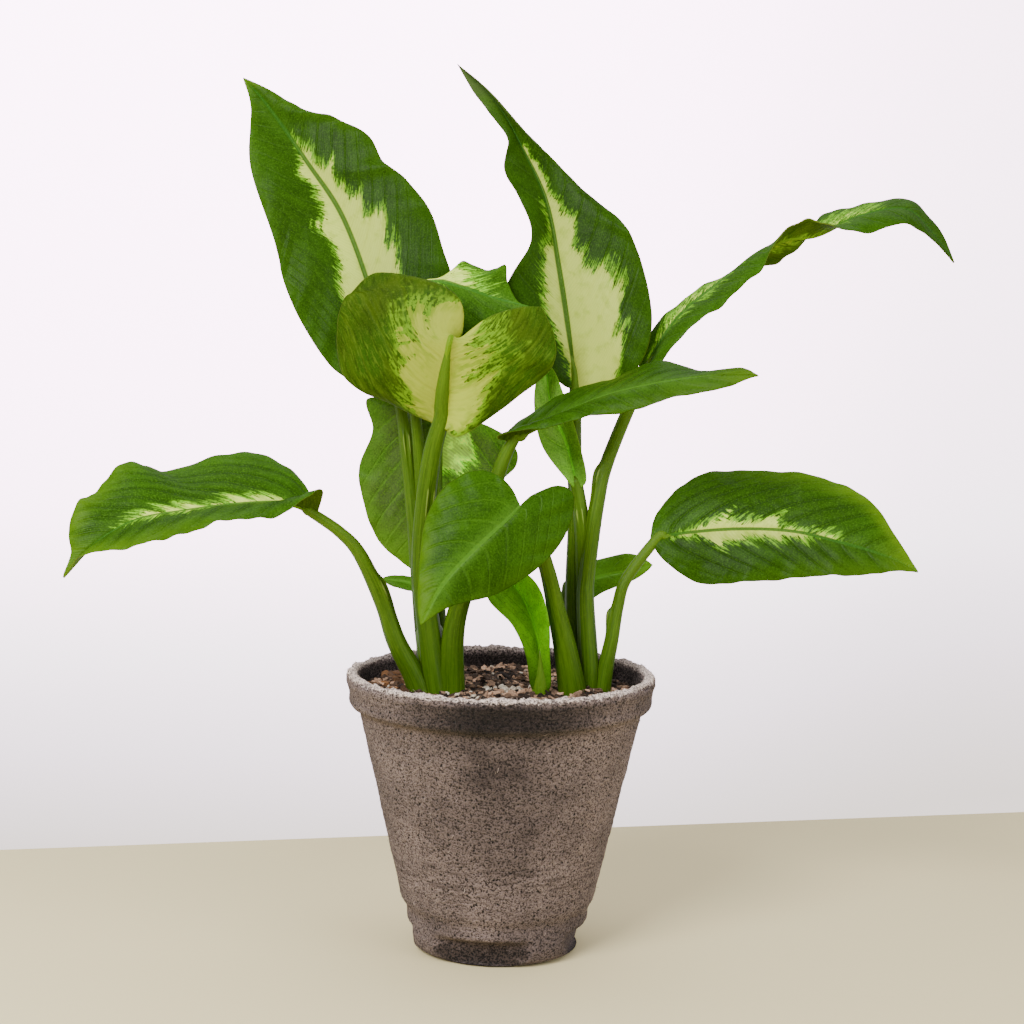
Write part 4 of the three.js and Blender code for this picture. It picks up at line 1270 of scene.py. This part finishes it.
def crumb_material(name, dark, light, roughness):
    """Bark, perlite or loose fibre."""
    material, n = new_material(name)
    inputs = {"Shade": n.attribute("crumb_shade", "Fac"), "Dark": dark, "Light": light}
    marks = n.add("ShaderNodeGroup", inputs, node_tree=crumb_marks_group()).outputs
    n.surface(n.skin(marks["Color"], roughness, n.bump(marks["Grain"], 0.7, 0.0006), 0.25))
    return material


def soil_material():
    """Dark, damp potting mix with paler bits in it."""
    material, n = new_material("potting_mix")
    here = n.here()
    crumbs = n.cells(here, 700.0)
    grain = n.noise(here, 900.0, 4.0, 0.65)
    body = n.mix(n.ease(grain, 0.35, 0.68), (0.014, 0.009, 0.006), (0.13, 0.075, 0.045))
    body = n.mix(n.ease(crumbs, 0.0, 0.35, 0.35, 0.0), body, (0.2, 0.12, 0.07))
    relief = n.bump(n.math("ADD", grain, crumbs), 1.0, 0.0015)
    n.surface(n.skin(body, n.ease(grain, 0.3, 0.7, 0.95, 0.7), relief, 0.25))
    return material


def table_material(settings):
    """A matt beige table top with a faint mottle, and painted light that makes it a little lighter at the
    front left.
    """
    material, n = new_material("table_top")
    here = n.here()
    place = n.split(here)
    # Painted light: the colour goes from the lit front left to the dimmer back right
    near = n.part_of(place[0], 0.6, n.part_of(n.noise(here, 3.0, 3.0), 0.06, place[1]))
    body = n.mix(n.ease(near, -0.3, 0.3), settings.table_lit_front, settings.table_dim_back)
    n.surface(n.skin(body, 0.85, None, 0.15))
    return material


def sweep_material():
    """White paper whose brightness is a painted glow, more the farther it is. On the plant its light is that
    of soft, even paper.
    """
    material, n = new_material("sweep_paper")
    x, y, z = n.split(n.here())
    aside = n.ease(n.math("DIVIDE", x, n.math("ADD", y, 0.7)), -0.03, 0.26, 1.0, 0.4)
    place = n.times(n.math("ADD", y, z), aside)
    (start, tone), *rest = SWEEP_GLOW
    for end, following in rest:
        part = n.add("ShaderNodeMapRange", {0: place, 1: start, 2: end}).outputs[0]
        tone = n.mix(part, tone, following)
        start = end
    glow = n.add("ShaderNodeEmission", {"Color": tone}).outputs[0]
    paper = n.add("ShaderNodeEmission", {"Color": (1, 0.98, 1), "Strength": 1.0}).outputs[0]
    seen = n.add("ShaderNodeLightPath").outputs["Is Camera Ray"]
    n.surface(n.add("ShaderNodeMixShader", {0: seen, 1: paper, 2: glow}).outputs[0])
    return material


def random_value(n, low, high, seed):
    """A value of each point's own between two limits, which are numbers or else tuples."""
    vector = isinstance(low, tuple)
    node = n.add("FunctionNodeRandomValue", data_type="FLOAT_VECTOR" if vector else "FLOAT")
    limits = [socket for socket in node.inputs if socket.enabled and socket.name in ("Min", "Max")]
    n.feed(limits[0], low)
    n.feed(limits[1], high)
    n.feed(next(socket for socket in node.inputs if socket.name == "Seed"), seed)
    return node.outputs[0 if vector else 1]


def strewn(n, given, density, shape, tilt, size):
    """Copies of a shape over the given surface, made real, each tilted at random and with its own shade."""
    spots = n.add("GeometryNodeDistributePointsOnFaces", {
        "Mesh": given["Surface"], "Density": density, "Seed": given["Seed"]}).outputs
    spin = random_value(n, (-tilt, -tilt, 0.0), (tilt, tilt, FULL_TURN), given["Seed"])
    turned = n.add("FunctionNodeRotateRotation", rotation_space="LOCAL")
    n.feed(turned.inputs[0], spots["Rotation"])
    n.feed(turned.inputs[1], n.add("FunctionNodeEulerToRotation", {0: spin}).outputs[0])
    placed = n.add("GeometryNodeInstanceOnPoints", {
        "Points": spots["Points"], "Instance": shape, "Rotation": turned.outputs[0], "Scale": size})
    named = n.add("GeometryNodeStoreNamedAttribute", {
        "Geometry": placed.outputs[0], "Name": "crumb_shade"}, data_type="FLOAT", domain="INSTANCE")
    n.feed(named.inputs["Value"], random_value(n, 0.0, 1.0, n.math("ADD", given["Seed"], 7.0)))
    return n.add("GeometryNodeRealizeInstances", {0: named.outputs[0]}).outputs[0]


def painted(n, shape, material):
    """The shape in that material."""
    return n.add("GeometryNodeSetMaterial", {"Geometry": shape, "Material": material}).outputs[0]


def crumbs_tree():
    """Geometry Nodes: small rough lumps strewn over a surface, each with a shape and shade of its own."""
    tree, n, given, result = node_group("Strewn crumbs", "GeometryNodeTree", [
        ("Surface", "NodeSocketGeometry", None),
        ("Density", "NodeSocketFloat", 1000.0),
        ("Smallest", "NodeSocketFloat", 0.001),
        ("Largest", "NodeSocketFloat", 0.002),
        ("Flatness", "NodeSocketFloat", 0.5),
        ("Length", "NodeSocketFloat", 1.0),
        ("Roughness", "NodeSocketFloat", 0.3),
        ("Seed", "NodeSocketInt", 1),
        ("Material", "NodeSocketMaterial", None),
    ], [("Crumbs", "NodeSocketGeometry")])
    lump = n.add("GeometryNodeMeshIcoSphere", {"Radius": 1.0, "Subdivisions": 2}).outputs[0]
    form = n.join(given["Length"], 1.0, n.math("SUBTRACT", 1.0, given["Flatness"]))
    size = n.scaled(form, random_value(n, given["Smallest"], given["Largest"], given["Seed"]))
    crumbs = strewn(n, given, given["Density"], lump, 0.5, size)
    rough = n.noise(n.add("GeometryNodeInputPosition").outputs[0], 620.0, output="Color")
    reach = n.times(n.times(given["Roughness"], given["Largest"]), 4.0)
    push = n.scaled(n.vector("SUBTRACT", rough, (0.5, 0.5, 0.5)), reach)
    moved = n.add("GeometryNodeSetPosition", {"Geometry": crumbs, "Offset": push}).outputs[0]
    n.feed(result["Crumbs"], painted(n, moved, given["Material"]))
    return tree


def threads_tree():
    """Geometry Nodes: short bent threads that stand out of a surface as loose fibres."""
    tree, n, given, result = node_group("Loose threads", "GeometryNodeTree", [
        ("Surface", "NodeSocketGeometry", None),
        ("Density", "NodeSocketFloat", 1000.0),
        ("Length", "NodeSocketFloat", 0.0015),
        ("Thickness", "NodeSocketFloat", 0.0001),
        ("Lift", "NodeSocketFloat", 0.5),
        ("Seed", "NodeSocketInt", 1),
        ("Material", "NodeSocketMaterial", None),
    ], [("Threads", "NodeSocketGeometry")])
    weight = n.add("GeometryNodeInputNamedAttribute", {"Name": "thread_weight"}, data_type="FLOAT").outputs[0]
    bow = n.add("GeometryNodeCurveQuadraticBezier", {
        "Resolution": 3, "Start": (0.0, 0.0, -0.1), "Middle": (0.25, 0.1, 0.3), "End": (0.9, -0.1, 0.45)})
    thin = n.math("DIVIDE", given["Thickness"], given["Length"])
    profile = n.add("GeometryNodeCurvePrimitiveCircle", {"Resolution": 3, "Radius": thin})
    rod = n.add("GeometryNodeCurveToMesh", {"Curve": bow.outputs[0], "Profile Curve": profile.outputs[0]})
    grown = n.times(random_value(n, 0.35, 1.0, given["Seed"]), given["Length"])
    size = n.scaled(n.join(1.0, 1.0, given["Lift"]), grown)
    threads = strewn(n, given, n.times(given["Density"], weight), rod.outputs[0], 0.6, size)
    n.feed(result["Threads"], painted(n, threads, given["Material"]))
    return tree


def grown_piece(name, surface, tree, values):
    """The plain mesh that a Geometry Nodes tree grows on a copy of a surface."""
    carrier = bpy.data.objects.new(name, surface)
    bpy.context.scene.collection.objects.link(carrier)
    modifier = carrier.modifiers.new("grow", "NODES")
    modifier.node_group = tree
    sockets = {item.name: item.identifier for item in tree.interface.items_tree if item.in_out == "INPUT"}
    for key, value in values.items():
        modifier[sockets[key]] = value
    bpy.context.view_layer.update()
    grown = carrier.evaluated_get(bpy.context.evaluated_depsgraph_get())
    mesh = bpy.data.meshes.new_from_object(grown)
    carrier.modifiers.remove(modifier)
    carrier.data = mesh
    mesh.name = name
    if not mesh.polygons:
        raise RuntimeError(f"nothing grew for {name}")
    return carrier


def part_of_surface(name, piece, keep, attributes=None):
    """A copy of the faces of a piece whose middles, in millimetres, keep() chooses."""
    source = piece.data
    points = np.empty(len(source.vertices) * 3)
    source.vertices.foreach_get("co", points)
    points = points.reshape(-1, 3) / MM
    faces = [tuple(face.vertices) for face in source.polygons
             if len(face.vertices) == 4 and keep(points[list(face.vertices)].mean(axis=0))]
    used = sorted({i for face in faces for i in face})
    number = {old: new for new, old in enumerate(used)}
    mesh = bpy.data.meshes.new(name)
    mesh.from_pydata((points[used] * MM).tolist(), [], [tuple(number[i] for i in face) for face in faces])
    for key, function in (attributes or {}).items():
        layer = mesh.attributes.new(key, "FLOAT", "POINT")
        layer.data.foreach_set("value", np.asarray(function(points[used]), np.float32))
    mesh.update()
    return mesh


def settle(piece, material, nodes=()):
    """Gives a piece its material, its body and its place in the model."""
    if material:
        piece.data.materials.clear()
        piece.data.materials.append(material)
    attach(piece, "root")
    if nodes:
        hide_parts(*nodes)


def area_light(name, place, target, size, colour, power):
    """A soft light that points at a place."""
    light = bpy.data.lights.new(name, "AREA")
    light.shape = "RECTANGLE"
    light.size, light.size_y = size
    light.energy = power
    light.color = colour
    lamp = bpy.data.objects.new(name, light)
    lamp.location = place
    lamp.rotation_euler = (Vector(target) - Vector(place)).to_track_quat("-Z", "Y").to_euler()
    bpy.context.scene.collection.objects.link(lamp)


def build_camera(settings):
    """The camera in front of the pot, looking slightly down and leaning a little."""
    pitch, roll = settings.pitch, settings.roll
    ahead = Vector((0, math.cos(pitch), -math.sin(pitch)))
    up = Vector((0, math.sin(pitch), math.cos(pitch)))
    side = Vector((1, 0, 0))
    right = side * math.cos(roll) + up * math.sin(roll)
    above = up * math.cos(roll) - side * math.sin(roll)
    camera = bpy.data.cameras.new("camera")
    camera.lens = settings.lens
    camera.sensor_width = SENSOR_WIDTH
    camera.clip_start = 0.01
    holder = bpy.data.objects.new("camera", camera)
    turn = Matrix((right, above, -ahead)).transposed()
    place = Matrix.Translation((CAMERA_SIDE, -settings.distance, settings.height))
    holder.matrix_world = place @ turn.to_4x4()
    bpy.context.scene.collection.objects.link(holder)
    bpy.context.scene.camera = holder


def build_stage(settings):
    """A beige table top that ends behind the pot, on a pale sweep that rises behind it."""
    left, right = (Vector((*place, 0)) for place in TABLE_EDGE)
    onward = (right - left).normalized() * TABLE_REACH
    far_left, far_right = left - onward, right + onward
    corners = [(far_left.x, far_left.y), (far_right.x, far_right.y), *TABLE_FRONT]
    sides = [(i, (i + 1) % 4, 4 + (i + 1) % 4, 4 + i) for i in range(4)]
    table = new_mesh("table", [(x, y, z) for z in (0, -1) for x, y in corners],
                     [(3, 2, 1, 0), (4, 5, 6, 7), *sides])
    table.data.polygons.foreach_set("use_smooth", [False] * 6)
    table.data.materials.append(table_material(settings))
    bend = [(BEND_START + BEND_RADIUS * math.sin(a), SWEEP_LEVEL + BEND_RADIUS * (1 - math.cos(a)))
            for a in np.linspace(0, math.pi / 2, 24)]
    section = [(-SWEEP_SIDE, SWEEP_LEVEL), *bend, (BEND_START + BEND_RADIUS, SWEEP_TOP)]
    points = [(x, y, z) for y, z in section for x in (-SWEEP_SIDE, SWEEP_SIDE)]
    faces = [(2 * i, 2 * i + 1, 2 * i + 3, 2 * i + 2) for i in range(len(section) - 1)]
    sweep = new_mesh("sweep", points, faces)
    sweep.data.materials.append(sweep_material())
    for name, light in LIGHTS.items():
        area_light(name, *light, getattr(settings, name + "_power"))
    world = bpy.data.worlds.new("room")
    world.use_nodes = True
    background = world.node_tree.nodes["Background"]
    background.inputs["Color"].default_value = ROOM_COLOUR
    background.inputs["Strength"].default_value = ROOM_STRENGTH
    bpy.context.scene.world = world
    build_camera(settings)


class LeafSettings(bpy.types.PropertyGroup):
    rows: bpy.props.IntProperty(name="Rows", description="Rows of faces along a blade", default=110, min=20)
    thickness: bpy.props.FloatProperty(
        name="Thickness", description="How thick a blade is", default=0.0007, unit="LENGTH", precision=5)
    quilting: bpy.props.FloatProperty(
        name="Quilting", description="How far a blade rises between its veins", default=0.0003,
        unit="LENGTH", precision=5)
    see_through: bpy.props.FloatProperty(
        name="See-through", description="How much light passes a blade", default=0.2, min=0, max=1,
        subtype="FACTOR")
    deep_green: bpy.props.FloatVectorProperty(
        name="Deep green", description="A blade's darker green", default=(0.019, 0.06, 0.002), min=0, max=1,
        subtype="COLOR")
    green: bpy.props.FloatVectorProperty(
        name="Green", description="A blade's paler green", default=(0.034, 0.1, 0.003), min=0, max=1,
        subtype="COLOR")
    olive: bpy.props.FloatVectorProperty(
        name="Underside", description="The green of a blade's underside", default=(0.031, 0.072, 0.002),
        min=0, max=1, subtype="COLOR")
    cream: bpy.props.FloatVectorProperty(
        name="Cream", description="The marking in the middle of a blade", default=(0.69, 0.83, 0.15),
        min=0, max=1, subtype="COLOR")
    rib: bpy.props.FloatVectorProperty(
        name="Midrib", description="The midrib on a blade's upper face", default=(0.038, 0.135, 0.014),
        min=0, max=1, subtype="COLOR")


class StalkSettings(bpy.types.PropertyGroup):
    sides: bpy.props.IntProperty(name="Sides", description="Faces round a stalk", default=40, min=8)
    ring_gap: bpy.props.FloatProperty(
        name="Ring gap", description="Distance between the rings of a stalk", default=0.0012,
        unit="LENGTH", precision=5)
    dark_green: bpy.props.FloatVectorProperty(
        name="Dark green", description="The dark streaks of a stalk", default=(0.031, 0.078, 0.001),
        min=0, max=1, subtype="COLOR")
    green: bpy.props.FloatVectorProperty(
        name="Green", description="The pale streaks of a stalk", default=(0.06, 0.13, 0.002),
        min=0, max=1, subtype="COLOR")


class PotSettings(bpy.types.PropertyGroup):
    sides: bpy.props.IntProperty(name="Sides", description="Faces round the pot", default=420, min=40)
    fuzz: bpy.props.FloatProperty(
        name="Fuzz", description="How strongly the felted wall is roughened", default=1.0, min=0)
    raggedness: bpy.props.FloatProperty(
        name="Raggedness", description="How strongly the rim is torn", default=1.0, min=0)
    thread_density: bpy.props.FloatProperty(
        name="Threads", description="Loose fibres on each square metre", default=150000, min=0)
    thread_length: bpy.props.FloatProperty(
        name="Thread length", description="How long a loose fibre is at most", default=0.0017,
        unit="LENGTH", precision=5)
    thread_thickness: bpy.props.FloatProperty(
        name="Thread thickness", description="Half of how thick a loose fibre is", default=0.00006,
        unit="LENGTH", precision=5)
    dark_fibre: bpy.props.FloatVectorProperty(
        name="Dark fibre", description="The dark threads of the felt", default=(0.026, 0.018, 0.016),
        min=0, max=1, subtype="COLOR")
    pale_fibre: bpy.props.FloatVectorProperty(
        name="Pale fibre", description="The pale threads of the felt", default=(0.272, 0.204, 0.192),
        min=0, max=1, subtype="COLOR")
    seed: bpy.props.IntProperty(name="Seed", description="Which fibres stand out", default=4)


class SoilSettings(bpy.types.PropertyGroup):
    lumpiness: bpy.props.FloatProperty(
        name="Lumpiness", description="How strongly the soil is heaped", default=1.0, min=0)
    bark_density: bpy.props.FloatProperty(
        name="Bark", description="Bits of bark on each square metre", default=170000, min=0)
    perlite_density: bpy.props.FloatProperty(
        name="Perlite", description="Grains of perlite on each square metre", default=12000, min=0)
    dark_bark: bpy.props.FloatVectorProperty(
        name="Dark bark", description="The darkest bits of bark", default=(0.014, 0.008, 0.005),
        min=0, max=1, subtype="COLOR")
    pale_bark: bpy.props.FloatVectorProperty(
        name="Pale bark", description="The palest bits of bark", default=(0.8, 0.5, 0.33),
        min=0, max=1, subtype="COLOR")
    seed: bpy.props.IntProperty(name="Seed", description="Where the bits lie", default=11)


class StageSettings(bpy.types.PropertyGroup):
    lens: bpy.props.FloatProperty(
        name="Lens", description="The camera's focal length in millimetres", default=69.98)
    distance: bpy.props.FloatProperty(
        name="Distance", description="How far in front of the pot the camera stands", default=0.7,
        unit="LENGTH")
    height: bpy.props.FloatProperty(
        name="Height", description="How high the camera stands", default=0.2257, unit="LENGTH")
    pitch: bpy.props.FloatProperty(
        name="Pitch", description="How far the camera looks down", default=math.radians(5.67),
        subtype="ANGLE")
    roll: bpy.props.FloatProperty(
        name="Roll", description="How far the camera leans", default=math.radians(1.0), subtype="ANGLE")
    key_power: bpy.props.FloatProperty(
        name="Key light", description="Power of the light at the front left", default=29, subtype="POWER")
    fill_power: bpy.props.FloatProperty(
        name="Fill light", description="Power of the light at the right", default=17, subtype="POWER")
    top_power: bpy.props.FloatProperty(
        name="Top light", description="Power of the light above", default=8, subtype="POWER")
    backdrop_power: bpy.props.FloatProperty(
        name="Backdrop light", description="Power of the light on the backdrop", default=12, subtype="POWER")
    # The table's colours at the lit front left and the dimmer back right of its painted light
    table_lit_front: bpy.props.FloatVectorProperty(
        name="Table in front", description="The table's colour at the front left", default=(0.86, 0.75, 0.43),
        min=0, max=1, subtype="COLOR")
    table_dim_back: bpy.props.FloatVectorProperty(
        name="Table behind", description="The table's colour at the back right", default=(0.66, 0.57, 0.33),
        min=0, max=1, subtype="COLOR")


GROUPS = {
    "plant_leaves": LeafSettings,
    "plant_stalks": StalkSettings,
    "plant_pot": PotSettings,
    "plant_soil": SoilSettings,
    "plant_stage": StageSettings,
}


def on_pot_skin(place):
    """Whether a place on the pot is on its outside or its rim, and clear of the table."""
    x, y, z = place
    return z > 2 and (math.hypot(x, y) > cone_radius(z) - 1.5 or z > 94)


def thread_weight(places):
    """How thickly threads grow: a few on the wall, many on the rim, most of them in front."""
    height = places[:, 2]
    on_wall = WALL_THREADS * (1 - ease(height, 86, 89)) * ease(height, 10, 14)
    on_rim = RIM_THREADS * ease(height, 97, 99) * (1 - 0.6 * ease(places[:, 1], 0, 35))
    return on_wall + on_rim


def on_soil_top(place):
    """Whether a place on the soil is on its top and clear of the pot."""
    x, y, z = place
    return z > SOIL_TOP - 2.5 and math.hypot(x, y) < cone_radius(SOIL_TOP) - WALL - SOIL_CLEAR


def on_rusty_side(place):
    """Whether a place is on the soil's left, where rusty bark lies."""
    return on_soil_top(place) and place[0] < RUST_EDGE


def on_perlite_heap(place):
    """Whether a place is on the soil where perlite lies thick."""
    x, y, radius = PERLITE_HEAP
    return on_soil_top(place) and math.hypot(place[0] - x, place[1] - y) < radius


class PLANT_OT_pot(bpy.types.Operator):
    """Builds the fibre pot and its loose threads over the CAD pot"""
    bl_idname = "plant.pot"
    bl_label = "Build Pot"

    def execute(self, context):
        settings = context.scene.plant_pot
        pot = pot_piece(settings)
        settle(pot, fibre_material(settings), ["pot"])
        skin = part_of_surface("pot_skin", pot, on_pot_skin, {"thread_weight": thread_weight})
        threads = grown_piece("pot_threads", skin, threads_tree(), {
            "Density": settings.thread_density,
            "Length": settings.thread_length,
            "Thickness": settings.thread_thickness,
            "Lift": 0.6,
            "Seed": settings.seed,
            "Material": crumb_material("pot_thread", (0.04, 0.03, 0.024), (0.95, 0.77, 0.68), 0.9),
        })
        settle(threads, None)
        return {"FINISHED"}


class PLANT_OT_soil(bpy.types.Operator):
    """Builds the soil with its bark and perlite over the CAD soil"""
    bl_idname = "plant.soil"
    bl_label = "Build Soil"

    def execute(self, context):
        settings = context.scene.plant_soil
        soil = soil_piece(settings)
        settle(soil, soil_material(), ["soil"])
        bark, perlite = settings.bark_density, settings.perlite_density
        chalk = ((0.6, 0.52, 0.42), (0.9, 0.84, 0.72), 0.95)
        tree = crumbs_tree()
        # Where each kind lies, how many there are, what is added to the seed, the sizes, flatness,
        # length and roughness of its crumbs, and its dark and light colours and its matt finish
        kinds = {
            "soil_bark": (on_soil_top, bark, 0, (0.0005, 0.0015), 0.5, 1.9, 0.4,
                          (settings.dark_bark, settings.pale_bark, 0.85)),
            "soil_perlite": (on_soil_top, perlite, 1, (0.0004, 0.0011), 0.2, 1.2, 0.35, chalk),
            "soil_perlite_heap": (on_perlite_heap, perlite * 30, 3, (0.0005, 0.0013), 0.2, 1.2, 0.35, chalk),
            "soil_rust_bark": (on_rusty_side, bark * 0.5, 2, (0.0008, 0.0022), 0.6, 2.4, 0.3,
                               ((0.05, 0.024, 0.01), (0.26, 0.12, 0.045), 0.8)),
        }
        for name, (where, density, extra, sizes, flatness, length, roughness, finish) in kinds.items():
            crumbs = grown_piece(name, part_of_surface(name + "_ground", soil, where), tree, {
                "Density": density,
                "Smallest": sizes[0],
                "Largest": sizes[1],
                "Flatness": flatness,
                "Length": length,
                "Roughness": roughness,
                "Seed": settings.seed + extra,
                "Material": crumb_material(name, *finish),
            })
            settle(crumbs, None)
        return {"FINISHED"}


class PLANT_OT_stalks(bpy.types.Operator):
    """Builds the stems with the stalks of their leaves over the CAD stems"""
    bl_idname = "plant.stalks"
    bl_label = "Build Stalks"

    def execute(self, context):
        settings = context.scene.plant_stalks
        skin = stalk_material(settings)
        for name, stem in STEMS.items():
            settle(stem_piece(name, stem, settings), skin, ["stem_" + name])
        return {"FINISHED"}


class PLANT_OT_leaves(bpy.types.Operator):
    """Builds every leaf blade, with its veins and markings, over its CAD blade"""
    bl_idname = "plant.leaves"
    bl_label = "Build Leaves"

    def execute(self, context):
        settings = context.scene.plant_leaves
        group = leaf_marks_group()
        usual = {
            "Deep": settings.deep_green,
            "Green": settings.green,
            "Olive": settings.olive,
            "Cream": settings.cream,
            "Rib": settings.rib,
        }
        skins = {}
        for kind, (own, see_through) in LEAF_KINDS.items():
            see_through = see_through or settings.see_through
            skins[kind] = leaf_material(kind + "_skin", group, {**usual, **own}, see_through)
        for name, blade in BLADES.items():
            kind = blade.get("kind", "variegated_leaf")
            settle(leaf_piece(name, blade, settings), skins[kind], ["leaf_" + name])
        return {"FINISHED"}


class PLANT_OT_stage(bpy.types.Operator):
    """Sets up the pale table, the backdrop, the soft lights and the camera"""
    bl_idname = "plant.stage"
    bl_label = "Build Stage"

    def execute(self, context):
        build_stage(context.scene.plant_stage)
        return {"FINISHED"}


class PLANT_PT_panel(bpy.types.Panel):
    bl_label = "Potted Dieffenbachia"
    bl_idname = "PLANT_PT_panel"
    bl_space_type = "VIEW_3D"
    bl_region_type = "UI"
    bl_category = "Dieffenbachia"

    def draw(self, context):
        for key, operator in zip(GROUPS, ("leaves", "stalks", "pot", "soil", "stage")):
            box = self.layout.box()
            settings = getattr(context.scene, key)
            for name in settings.__annotations__:
                box.prop(settings, name)
            box.operator("plant." + operator)


OPERATORS = (PLANT_OT_pot, PLANT_OT_soil, PLANT_OT_stalks, PLANT_OT_leaves, PLANT_OT_stage)


def register():
    for key, group in GROUPS.items():
        bpy.utils.register_class(group)
        setattr(bpy.types.Scene, key, bpy.props.PointerProperty(type=group))
    for kind in (*OPERATORS, PLANT_PT_panel):
        bpy.utils.register_class(kind)


def unregister():
    for kind in (PLANT_PT_panel, *reversed(OPERATORS)):
        bpy.utils.unregister_class(kind)
    for key, group in GROUPS.items():
        delattr(bpy.types.Scene, key)
        bpy.utils.unregister_class(group)


def main():
    register()
    for operator in OPERATORS:
        getattr(bpy.ops.plant, operator.bl_idname.split(".")[1])()
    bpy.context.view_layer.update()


if __name__ == "__main__":
    main()
